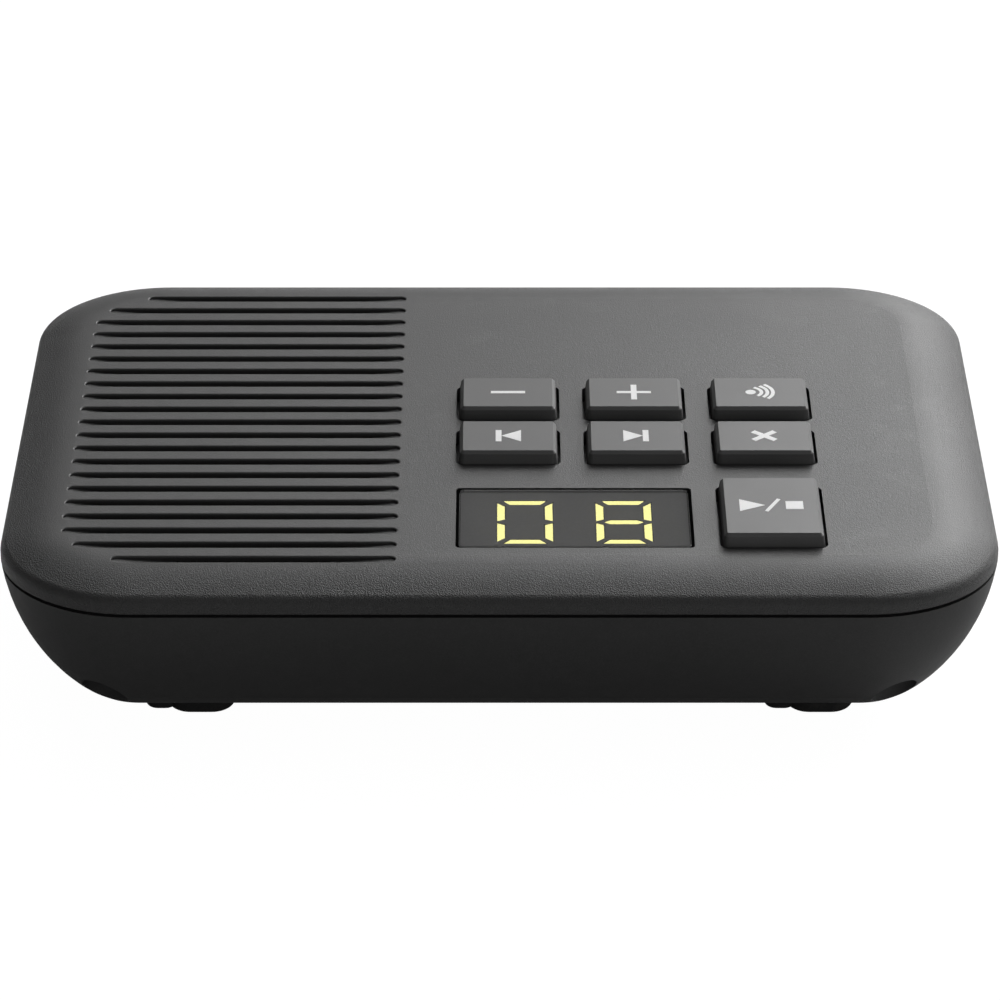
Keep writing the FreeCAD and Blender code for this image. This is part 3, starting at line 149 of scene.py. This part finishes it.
def moulded(name, dark, light, grain, depth, rough, constants, coarse_below=None):
    """Spark-eroded plastic: blotchy tone, pits and peaks of that grain size and depth.

    Below the coarse height, where the part curves down, the grain stands out more;
    above it, hands and the polished mould have left it smoother.
    """
    material, place = new_finish(name, constants)
    peaks = place.noise(grain, 3.0, 0.6)
    pits = place.node("TexVoronoi", {}, {"Vector": place, "Scale": 0.7 / grain}, "Distance")
    skin = peaks * 0.7 + pits * 0.45
    cloud = place.noise(0.028)
    scuffs = place.noise(0.006, 4.0, 0.7).between(0.58, 0.75)
    tone = (skin * 0.75 + cloud * 0.35).between(0.3, 0.95)
    worn = cloud * 0.1 - scuffs * 0.07 + (peaks - 0.5) * 0.12
    height = skin
    if coarse_below:
        fade, polish = 0.0016, 0.75
        rise = place.node("SeparateXYZ", {}, {0: place}, "Z")
        height = skin * (1 - rise.between(coarse_below - fade, coarse_below) * polish)
    bump = {"Strength": 1.0, "Distance": depth, "Height": height}
    feed(material, {
        "Base Color": tone.mix(dark, light),
        "Roughness": worn + rough,
        "Normal": place.node("Bump", {}, bump),
    })
    return material


coat(moulded("charcoal_abs", grey(0.033), grey(0.047), 0.0002, 0.000008, 0.5,
             {"Specular IOR Level": 0.25}), "bottom_case")

# Rubber feet
# Four soft pads pressed onto the underside: a broad one that carries the
# weight and a small lobe beside it for the fingers to pull on.


def take(name):
    """The active object, renamed, with its place, turn and size moved into its mesh."""
    bpy.ops.object.transform_apply(location=True, rotation=True, scale=True)
    piece = bpy.context.object
    piece.name = piece.data.name = name
    return piece


def select(piece, kind, chosen):
    """In edit mode, select the edges or faces that the test picks."""
    bpy.ops.mesh.select_mode(type=kind)
    bpy.ops.mesh.select_all(action="DESELECT")
    mesh = bmesh.from_edit_mesh(piece.data)
    for element in mesh.edges if kind == "EDGE" else mesh.faces:
        if chosen(element):
            element.select_set(True)
    bmesh.update_edit_mesh(piece.data)


TOUCH = 1e-6  # metres within which two points count as one


def rounded_block(name, low, high, corner, steps, sole=0.0):
    """Box between two corners of space, its upright edges and perhaps its sole rounded."""
    bpy.ops.mesh.primitive_cube_add(size=1, location=(Vector(low) + Vector(high)) / 2)
    bpy.context.object.scale = Vector(high) - Vector(low)
    piece = take(name)
    bpy.ops.object.mode_set(mode="EDIT")
    select(piece, "EDGE", lambda edge: abs(edge.verts[0].co.z - edge.verts[1].co.z) > TOUCH)
    bpy.ops.mesh.bevel(offset=corner, segments=steps, affect="EDGES")
    if sole:
        select(piece, "EDGE",
               lambda edge: max(vertex.co.z for vertex in edge.verts) < low[2] + TOUCH)
        bpy.ops.mesh.bevel(offset=sole, segments=6, affect="EDGES")
    bpy.ops.object.mode_set(mode="OBJECT")
    return piece


def apply_modifier(piece, kind, settings):
    """Shape a piece by one modifier, applied at once."""
    bpy.context.view_layer.objects.active = piece
    modifier = piece.modifiers.new(kind.lower(), kind)
    for name, value in settings.items():
        setattr(modifier, name, value)
    bpy.ops.object.modifier_apply(modifier=modifier.name)


def combine(piece, other, operation="UNION"):
    """Boolean of two pieces; the second one is used up."""
    apply_modifier(piece, "BOOLEAN", {
        "object": other, "operation": operation, "solver": "EXACT", "use_self": True})
    bpy.data.objects.remove(other)


def smooth(piece, angle):
    """Shade a piece smooth, apart from edges sharper than that angle in degrees."""
    bpy.ops.object.select_all(action="DESELECT")
    piece.select_set(True)
    bpy.context.view_layer.objects.active = piece
    bpy.ops.object.shade_smooth_by_angle(angle=math.radians(angle))
    piece.select_set(False)


def finished(piece, material, body, stands_for=()):
    """Give a new piece its finish, tie it to its body, and hide the CAD nodes it stands for."""
    piece.data.materials.clear()
    piece.data.materials.append(material)
    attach(piece, body)
    if stands_for:
        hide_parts(*stands_for)


def duplicate(piece, name, shift):
    """Copy with a mesh of its own, moved in its vertices."""
    copy = piece.copy()
    copy.data = piece.data.copy()
    copy.name = copy.data.name = name
    bpy.context.scene.collection.objects.link(copy)
    copy.data.transform(Matrix.Translation(shift))
    return copy


rubber, place = new_finish("foot_rubber", {"Specular IOR Level": 0.35})
speckle = place.noise(0.0004, 3.0)
dust = place.noise(0.003, 4.0, 0.65).between(0.5, 0.75)
feed(rubber, {
    "Base Color": dust.mix(grey(0.021), grey(0.042, 0.06)),
    "Roughness": 0.66 + speckle * 0.2,
    "Normal": place.node("Bump", {}, {"Distance": 0.00002, "Height": speckle}),
})

low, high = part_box("foot_front_left")
pad_width, pad_corner, sole_edge = 0.0087, 0.003, 0.0007
lobe_length, lobe_corner = 0.0088, 0.0016
lobe_rise, lobe_reach = 0.00025, 0.0013  # above the table, and into the pad
pad_left, middle = high.x - pad_width, (low.y + high.y) / 2
foot = rounded_block("rubber_foot", (pad_left, low.y, 0), high, pad_corner, 10, sole_edge)
lobe = rounded_block("lobe", (low.x, middle - lobe_length / 2, lobe_rise),
                     (pad_left + lobe_reach, middle + lobe_length / 2, high.z),
                     lobe_corner, 8, sole_edge)
combine(foot, lobe)
smooth(foot, 40)
for name in ("foot_front_right", "foot_rear_left", "foot_rear_right"):
    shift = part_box(name)[0] - low
    finished(duplicate(foot, "rubber_" + name, shift), rubber, "housing", (name,))
foot.name = foot.data.name = "rubber_foot_front_left"
finished(foot, rubber, "housing", ("foot_front_left",))

# Main board
# Green glass-fibre board on four standoffs, with tinned radio can and aerial
# plates, black resin parts, drawn metal cans and a taped line transformer.

solder_mask, place = new_finish("solder_mask", {"Coat Weight": 0.3})
fibre = place.noise(0.0009)
tracks = place.node("TexBrick", {"offset": 0.37}, {
    "Vector": place, "Color1": grey(0.9), "Color2": grey(0.4), "Mortar": grey(0.0),
    "Scale": 140.0, "Mortar Size": 0.05}, "Fac")
over_copper = tracks.mix((0.02, 0.12, 0.05, 1), (0.035, 0.2, 0.08, 1))
feed(solder_mask, {
    "Base Color": (fibre * 0.5).mix(over_copper, (0.012, 0.07, 0.03, 1)),
    "Roughness": 0.28 + fibre * 0.2,
    "Normal": place.node("Bump", {}, {"Distance": 0.00003, "Height": tracks}),
})
coat(solder_mask, "main_board", "key_board", "speaker_tag")


def metal(name, colour, worn_colour, size, rough):
    """Bare or plated metal with dull patches and drawn streaks of about that size."""
    material, place = new_finish(name, {"Metallic": 1.0})
    streaks = place.node("Mapping", {}, {"Vector": place, "Scale": (1, 1, 14)})
    drawn = streaks.noise(size * 4, 3.0, 0.6)
    dull = place.noise(size * 9, 3.0).between(0.45, 0.7)
    feed(material, {
        "Base Color": dull.mix(colour, worn_colour),
        "Roughness": rough + dull * 0.14 + (drawn - 0.5) * 0.12,
        "Normal": place.node("Bump", {}, {"Distance": 0.00001, "Height": drawn}),
    })
    return material


coat(metal("tinned_sheet", grey(0.62), grey(0.5, 0.03), 0.0004, 0.3),
     "shield_can", "aerial_left", "aerial_right")
coat(metal("drawn_can", grey(0.66), grey(0.55), 0.0003, 0.25), "capacitors", "crystal")
resin = moulded("black_resin", grey(0.014), grey(0.026), 0.00012, 0.00001, 0.45, {})
coat(resin, "chips", "line_relay", "board_link")
tape, place = new_finish("polyester_tape", {"Coat Weight": 0.5})
windings = place.node("TexWave", {"bands_direction": "Z"},
                      {"Vector": place, "Scale": 260.0, "Distortion": 0.6}, 1)
feed(tape, {
    "Base Color": windings.mix((0.62, 0.44, 0.05, 1), (0.8, 0.62, 0.12, 1)),
    "Roughness": 0.25 + windings * 0.15,
    "Normal": place.node("Bump", {}, {"Distance": 0.00004, "Height": windings}),
})
coat(tape, "line_transformer")

# Sockets
# Two modular sockets in the bay at the rear, moulded in black nylon, each
# with gold-plated spring wires that slope down towards the back.

coat(moulded("socket_nylon", grey(0.012), grey(0.022), 0.0003, 0.000012, 0.38, {}),
     "line_socket", "power_socket")
coat(metal("gold_plate", (0.86, 0.62, 0.24, 1), (0.72, 0.5, 0.18, 1), 0.0002, 0.18),
     "line_contacts", "power_contacts", "contact_pads")

# Speaker
# A 40 mm moving-coil driver: zinc-plated basket and pot, nickel-plated
# magnet, pressed paper cone and cap, foam roll, and red insulated leads.

zinc = metal("zinc_plate", grey(0.55, -0.01), grey(0.42, 0.04), 0.0005, 0.32)
coat(zinc, "speaker_frame", "speaker_yoke", "speaker_pole", "speaker_clamps")
coat(metal("nickel_plate", grey(0.6, 0.03), grey(0.5, 0.03), 0.0004, 0.2), "speaker_magnet")
coat(metal("enamelled_copper", (0.62, 0.22, 0.09, 1), (0.5, 0.16, 0.06, 1), 0.0002, 0.3),
     "voice_coil")
paper, place = new_finish("pressed_paper", {"Sheen Weight": 0.2})
fibres = place.noise(0.0006, 5.0, 0.7)
feed(paper, {
    "Base Color": fibres.mix(grey(0.02), grey(0.06, 0.05)),
    "Roughness": 0.75 + fibres * 0.2,
    "Normal": place.node("Bump", {}, {"Distance": 0.00006, "Height": fibres}),
})
coat(paper, "speaker_cone", "dust_cap")
foam, place = new_finish("closed_cell_foam", {"Specular IOR Level": 0.2})
cells = place.node("TexVoronoi", {}, {"Vector": place, "Scale": 2600.0}, "Distance")
feed(foam, {
    "Base Color": cells.mix(grey(0.015), grey(0.04)),
    "Roughness": 0.8 + cells * 0.15,
    "Normal": place.node("Bump", {}, {"Distance": 0.00008, "Height": cells}),
})
coat(foam, "speaker_gasket", "cone_surround")
insulation, place = new_finish("lead_insulation", {})
smear = place.noise(0.002, 3.0)
feed(insulation, {
    "Base Color": smear.mix((0.42, 0.02, 0.015, 1), (0.58, 0.035, 0.02, 1)),
    "Roughness": 0.36 + smear * 0.15,
})
coat(insulation, "speaker_leads")

# Grille cloth
# Fine black polyester weave, cut to the slot field with round corners and
# glued flat under the cover, with holes for the bosses that pass through it.


WAVES_PER_UNIT = 3.18  # of the wave texture at a scale of 1


def weave(name, pitch, dark, light):
    """Plain weave of round threads at that pitch."""
    material, place = new_finish(name, {"Sheen Weight": 0.25, "Specular IOR Level": 0.25})
    threads = []
    for direction in ("X", "Y"):
        wave = {"bands_direction": direction, "wave_profile": "SIN"}
        sockets = {"Vector": place, "Scale": 1 / (pitch * WAVES_PER_UNIT), "Distortion": 0.25}
        threads.append(place.node("TexWave", wave, sockets, 1))
    crossings = threads[0] * threads[1]
    fuzz = place.noise(pitch / 3, 3.0)
    feed(material, {
        "Base Color": (crossings * 0.7 + fuzz * 0.3).mix(dark, light),
        "Roughness": 0.72 + fuzz * 0.2,
        "Normal": place.node("Bump", {}, {"Distance": pitch / 4, "Height": crossings}),
    })
    return material


black_weave = weave("black_weave", 0.00045, grey(0.006), grey(0.028))
coat(black_weave, "coil_spider")
low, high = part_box("grille_cloth")
cloth_corner, speaker_clearance = 0.0105, Vector((0, 0, 0.0001))
cloth = rounded_block("woven_grille", low + speaker_clearance, high, cloth_corner, 10)
column_x, column_y, column_hole = -0.0506, 0.03905, 0.00285
boss_holes = [(column_x, -column_y, column_hole), (column_x, column_y, column_hole)]
clamp_low, clamp_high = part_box("speaker_clamps")
washer_radius, clamp_hole = 0.0041, 0.00235
for x in (clamp_low.x + washer_radius, clamp_high.x - washer_radius):
    for y in (clamp_low.y + washer_radius, clamp_high.y - washer_radius):
        boss_holes.append((x, y, clamp_hole))
for x, y, radius in boss_holes:
    bpy.ops.mesh.primitive_cylinder_add(vertices=32, radius=radius, depth=0.002,
                                        location=(x, y, high.z))
    combine(cloth, take("boss_hole"), "DIFFERENCE")
smooth(cloth, 30)
finished(cloth, black_weave, "housing", ("grille_cloth",))

# Keypad under the cover
# A grey silicone mat with a hollow dome under each key. A carbon pill in the
# dome closes the gold pads of the key board when the key goes down.

silicone, place = new_finish("silicone", {
    "Subsurface Weight": 0.1, "Subsurface Radius": (0.001, 0.001, 0.001)})
milky = place.noise(0.004, 3.0)
feed(silicone, {
    "Base Color": milky.mix(grey(0.36), grey(0.46)),
    "Roughness": 0.5 + milky * 0.2,
})
coat(silicone, "keypad_mat")
carbon, place = new_finish("carbon_rubber", {"Specular IOR Level": 0.3})
soot = place.noise(0.0003, 3.0)
feed(carbon, {
    "Base Color": soot.mix(grey(0.006), grey(0.016)),
    "Roughness": 0.6 + soot * 0.3,
})
key_names = ["minus", "plus", "paging", "back", "forward", "delete", "play"]
coat(carbon, *[name + "_pill" for name in key_names])

# Top cover
# Rolled charcoal lid with 21 speaker slots, key openings and the seat of the
# window. Same plastic as the bowl, lighter, with a coarser sparkling grain.

flat_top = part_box("top_cover")[1].z - 0.0001
coat(moulded("cover_abs", grey(0.025), grey(0.042), 0.00013, 0.00016, 0.37,
             {"Specular IOR Level": 0.5}, flat_top), "top_cover")

# Display
# A two-digit light-emitting module behind a smoked window. A grey print on
# the window's back leaves a hole over each lit bar, a yellow diffuser.

face_paint = moulded("display_face", grey(0.004), grey(0.007), 0.0002, 0.000006, 0.6,
                     {"Specular IOR Level": 0.05})
coat(face_paint, "display_module")
coat(moulded("unlit_bar", grey(0.024), grey(0.034), 0.0002, 0.000006, 0.5, {}), "dark_segment")
glow, place = new_finish("lit_bar", {"Roughness": 0.4, "Emission Strength": 3.7})
haze = place.noise(0.0012, 3.0)
lit = haze.mix((1.0, 0.92, 0.3, 1), (1.0, 0.97, 0.38, 1))
feed(glow, {"Base Color": lit, "Emission Color": lit})
coat(glow, "lit_segments")

# The holes in the print are the tops of the bars, a little wider all round. A
# copy of the bars, rid of the marks that tie it to its node, cuts them.
hole_height, hole_margin, hole_shift = 0.0003, 0.00017, -0.00005
holes = nodes["lit_segments"].copy()
holes.data = nodes["lit_segments"].data.copy()
holes.parent = None
for mark in list(holes.keys()):
    del holes[mark]
bpy.context.scene.collection.objects.link(holes)
bpy.context.view_layer.objects.active = holes
holes.select_set(True)
bpy.ops.object.mode_set(mode="EDIT")
bpy.ops.mesh.select_all(action="SELECT")
bpy.ops.mesh.remove_doubles(threshold=TOUCH)
bpy.ops.mesh.dissolve_limited(angle_limit=math.radians(2))
select(holes, "FACE", lambda face: face.normal.z < 0.9)
bpy.ops.mesh.delete(type="FACE")
bpy.ops.mesh.select_all(action="SELECT")
bpy.ops.mesh.extrude_region_move(TRANSFORM_OT_translate={"value": (0, 0, hole_height)})
bpy.ops.mesh.select_all(action="SELECT")
bpy.ops.mesh.normals_make_consistent(inside=False)
bpy.ops.transform.shrink_fatten(value=hole_margin, use_even_offset=True)
bpy.ops.object.mode_set(mode="OBJECT")
holes.select_set(False)
holes.data.transform(Matrix.Translation((0, hole_shift, 0)))

low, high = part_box("display_lens")
print_depth, print_margin, print_corner = 0.00002, 0.0002, 0.0004
window_print = rounded_block(
    "window_print", (low.x + print_margin, low.y + print_margin, low.z),
    (high.x - print_margin, high.y - print_margin, low.z + print_depth), print_corner, 3)
combine(window_print, holes, "DIFFERENCE")
print_grey = moulded("print_grey", grey(0.21), grey(0.24), 0.0003, 0.000002, 0.6,
                     {"Specular IOR Level": 0.1})
# Partly a gasket, partly painted shadow: a nearly black ring set just under the cover's top fills
# the gap round the window, so that the gap shows as dark shade whatever light its walls would
# catch.
seat_gap, gasket_height, gasket_corner = 0.0004, 0.00085, 0.0006
gasket = rounded_block(
    "window_gap_shadow_gasket", (low.x - seat_gap, low.y - seat_gap, low.z),
    (high.x + seat_gap, high.y + seat_gap, low.z + gasket_height), gasket_corner, 4)
opening = rounded_block("gasket_opening", (low.x, low.y, low.z - gasket_height),
                        (high.x, high.y, low.z + 2 * gasket_height), gasket_corner, 4)
combine(gasket, opening, "DIFFERENCE")
# Near-black with no sheen: painted shadow for the gap round the window.
gap_shadow_gasket = moulded("gap_shadow_gasket", grey(0.002), grey(0.004), 0.0003, 0.00001, 0.8,
                       {"Specular IOR Level": 0.0})
finished(gasket, gap_shadow_gasket, "housing")
finished(window_print, print_grey, "housing")

smoke, place = new_finish("smoked_window", {
    "Base Color": grey(0.3), "Transmission Weight": 1.0, "IOR": 1.49})
wiped = place.noise(0.004, 4.0, 0.6)
feed(smoke, {"Roughness": 0.02 + wiped * 0.05})
coat(smoke, "display_lens")

# Key caps
# Seven hollow caps of satin ABS with softened top edges. They slide in the
# cover's openings and press the domes of the mat with a stem.

caps, place = new_finish("cap_abs", {"Specular IOR Level": 0.5})
satin = place.noise(0.00018)
touch = place.noise(0.005, 3.0)
feed(caps, {
    "Base Color": touch.mix(grey(0.086), grey(0.106)),
    "Roughness": 0.36 + touch * 0.12,
    "Normal": place.node("Bump", {}, {"Distance": 0.000006, "Height": satin}),
})
coat(caps, *[name + "_key" for name in key_names])

# Signs on the keys
# White ink pad-printed on each cap: plain signs for louder, softer, paging,
# back, forward, delete, and play or stop.

ink, place = new_finish("white_ink", {"Roughness": 0.45})
print_grain = place.noise(0.0002, 3.0)
feed(ink, {
    "Base Color": print_grain.mix(grey(0.93), grey(0.97)),
    "Normal": place.node("Bump", {}, {"Distance": 0.000004, "Height": print_grain}),
})
INK_DEPTH = 0.00002


def key_face(name):
    """Middle of a cap's top."""
    low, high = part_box(name + "_key")
    return Vector(((low.x + high.x) / 2, (low.y + high.y) / 2, high.z))


def bar_sign(key, x, y, width, depth, turn=0.0):
    """Printed bar, centred x, y millimetres from the middle of the key's top."""
    centre = key_face(key) + Vector((x, y, 0)) / 1000
    bpy.ops.mesh.primitive_plane_add(size=0.001, location=centre)
    bpy.context.object.scale = (width, depth, 1)
    bpy.context.object.rotation_euler.z = math.radians(turn)
    return thicken(take("bar"))


def arrow_sign(key, x, y, width, depth, way):
    """Printed triangle that points to the right, or to the left where way is -1."""
    piece = bar_sign(key, x, y, width, depth)
    tip = key_face(key).x + (x + way * width / 2) / 1000
    bpy.ops.object.mode_set(mode="EDIT")
    mesh = bmesh.from_edit_mesh(piece.data)
    for vertex in mesh.verts:
        if abs(vertex.co.x - tip) < TOUCH:
            vertex.co.y = key_face(key).y + y / 1000
    bmesh.update_edit_mesh(piece.data)
    bpy.ops.mesh.select_all(action="SELECT")
    bpy.ops.mesh.remove_doubles(threshold=TOUCH)
    bpy.ops.object.mode_set(mode="OBJECT")
    return piece


def thicken(piece):
    """Give a flat print its ink, standing on the cap."""
    bpy.ops.object.mode_set(mode="EDIT")
    bpy.ops.mesh.select_all(action="SELECT")
    bpy.ops.mesh.extrude_region_move(TRANSFORM_OT_translate={"value": (0, 0, INK_DEPTH)})
    bpy.ops.mesh.select_all(action="SELECT")
    bpy.ops.mesh.normals_make_consistent(inside=False)
    bpy.ops.object.mode_set(mode="OBJECT")
    return piece


def arc_sign(key, x, radius, stroke, half_angle):
    """Printed arc round a point x millimetres beside the middle, open to the left."""
    centre = key_face(key) + Vector((x, 0, 0)) / 1000
    start = math.radians(half_angle)
    outwards = Vector((math.cos(start), math.sin(start), 0))
    onwards = Vector((math.sin(start), -math.cos(start), 0))
    first = centre + outwards * radius / 1000
    bpy.ops.mesh.primitive_plane_add(size=0.001, location=first - onwards * stroke / 2000)
    bpy.context.object.scale = (stroke, stroke, 1)
    bpy.context.object.rotation_euler.z = start
    piece = take("arc")
    bpy.ops.object.mode_set(mode="EDIT")
    select(piece, "EDGE",
           lambda edge: all((vertex.co - first).dot(onwards) > -TOUCH for vertex in edge.verts))
    bpy.ops.mesh.spin(steps=20, angle=2 * start, center=centre, axis=(0, 0, 1))
    bpy.ops.object.mode_set(mode="OBJECT")
    return thicken(piece)


def print_sign(name, key, *parts):
    """Join the parts of one sign, which then moves with its key."""
    sign = parts[0]
    for part in parts[1:]:
        combine(sign, part)
    sign.name = sign.data.name = name
    finished(sign, ink, key + "_key")


# Millimetres and degrees from here to the end of the signs
span, stroke, upright = 4.6, 0.66, 0.78
print_sign("minus_sign", "minus", bar_sign("minus", 0, 0, span, 0.72))
print_sign("plus_sign", "plus", bar_sign("plus", 0, 0, span, stroke),
           bar_sign("plus", 0, 0, upright, span))
tall, arrow, stop_at, arrow_at = 3.4, 2.6, 1.26, 0.4
print_sign("back_sign", "back", bar_sign("back", -stop_at, 0, upright, tall),
           arrow_sign("back", arrow_at, 0, arrow, tall, -1))
print_sign("forward_sign", "forward", bar_sign("forward", stop_at, 0, upright, tall),
           arrow_sign("forward", -arrow_at, 0, arrow, tall, 1))
cross, cross_stroke, slope = 3.9, 0.84, 42
print_sign("delete_sign", "delete", bar_sign("delete", 0, 0, cross, cross_stroke, slope),
           bar_sign("delete", 0, 0, cross, cross_stroke, -slope))
slash, slash_stroke, slash_slope, square = 3.9, 0.5, 64, 2.25
print_sign("play_sign", "play", arrow_sign("play", -2.45, 0, 3.3, tall, 1))
print_sign("or_sign", "play", bar_sign("play", 0.15, 0, slash, slash_stroke, slash_slope))
print_sign("stop_sign", "play", bar_sign("play", 2.95, 0, square, square))
dot_at, dot_radius, wave_stroke = -1.2, 0.7, 0.5
waves = ((1.45, 52), (2.25, 44), (3.0, 42))  # radius and half angle
dot = key_face("paging") + Vector((dot_at, 0, 0)) / 1000
bpy.ops.mesh.primitive_circle_add(vertices=32, radius=dot_radius / 1000, fill_type="NGON",
                                  location=dot)
print_sign("paging_dot", "paging", thicken(take("dot")))
for number, (radius, half_angle) in enumerate(waves, 1):
    print_sign("paging_wave_%d" % number, "paging",
               arc_sign("paging", dot_at, radius, wave_stroke, half_angle))

# Screws
# Steel self-cutting screws with pan heads and cross recesses, zinc plated. The
# case screws are driven from below and sit at the bottom of the wells.

coat(zinc, "case_screws", "main_board_screws", "key_board_screws", "speaker_screws")

# Table, light and camera
# A plain white table and room. Soft panels stand to the rear and right, above
# and low in front, and the camera looks down along the machine's depth.

bpy.ops.mesh.primitive_plane_add(size=6, location=(0, 0, 0))
table = take("table")
table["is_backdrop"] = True
white, place = new_finish("table_white", {"Base Color": grey(0.82), "Roughness": 0.7})
tree = white.node_tree
rays = place.node("LightPath", {}, {}, "Is Camera Ray")
clear = place.node("LightPath", {}, {}, "Is Transmission Ray")
gloss = place.node("LightPath", {}, {}, "Is Glossy Ray")
glare = place.node("Emission", {}, {"Color": grey(1.0), "Strength": 1.12})
glare_share = (rays + clear) * 0.88 + gloss * 0.05
shown = place.node("MixShader", {}, {0: glare_share, 2: glare})
tree.links.new(tree.nodes["Principled BSDF"].outputs[0], shown.socket.node.inputs[1])
tree.links.new(shown.socket, tree.nodes["Material Output"].inputs["Surface"])
table.data.materials.append(white)

world = bpy.data.worlds.new("studio")
bpy.context.scene.world = world
world.use_nodes = True
tree = world.node_tree
room = Shade(tree)
rays = room.node("LightPath", {}, {}, "Is Camera Ray")
clear = room.node("LightPath", {}, {}, "Is Transmission Ray")
gloss = room.node("LightPath", {}, {}, "Is Glossy Ray")
direction = room.node("TexCoord", {}, {}, "Generated")
sideways = room.node("SeparateXYZ", {}, {0: direction}, "X")
ambient = 0.03 + 0.13 * sideways.between(-0.5, 0.7)
level = ambient + (rays + clear) * (1 - ambient) + gloss * 0.02
tree.nodes["Background"].inputs["Color"].default_value = grey(1.0)
tree.links.new(level.socket, tree.nodes["Background"].inputs["Strength"])


def panel(name, azimuth, elevation, distance, width, height, radiance):
    """Soft rectangular light that faces the machine; azimuth runs from rear to right."""
    light = bpy.data.lights.new(name, "AREA")
    light.shape, light.size, light.size_y = "RECTANGLE", width, height
    light.energy = radiance * math.pi * width * height
    lamp = bpy.data.objects.new(name, light)
    across, up = math.radians(azimuth), math.radians(elevation)
    way = Vector((math.cos(up) * math.sin(across), math.cos(up) * math.cos(across), math.sin(up)))
    lamp.location = way * distance
    lamp.rotation_euler = (-way).to_track_quat("-Z", "Y").to_euler()
    bpy.context.scene.collection.objects.link(lamp)


for placing in (
        ("right_panel", 34, 30, 1.2, 1.1, 0.85, 5.4),
        ("rear_panel", 2, 28, 1.3, 0.3, 0.5, 0.25),
        ("rear_left_panel", -13, 30, 1.3, 0.32, 0.5, 1.5),
        ("top_panel", 40, 74, 1.2, 1.4, 1.4, 0.42),
        ("front_panel", 160, 14, 1.2, 1.0, 0.5, 0.75)):
    panel(*placing)

look_down = 26.46
camera = bpy.data.cameras.new("camera")
camera.lens, camera.sensor_width, camera.clip_start = 185.27, 36.0, 0.01
viewer = bpy.data.objects.new("camera", camera)
viewer.location = (0.00008, -0.61943, 0.3222)
viewer.rotation_euler = (math.radians(90 - look_down), 0, 0)
bpy.context.scene.collection.objects.link(viewer)
bpy.context.scene.camera = viewer
bpy.context.scene.view_settings.view_transform = "Standard"

low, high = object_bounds()
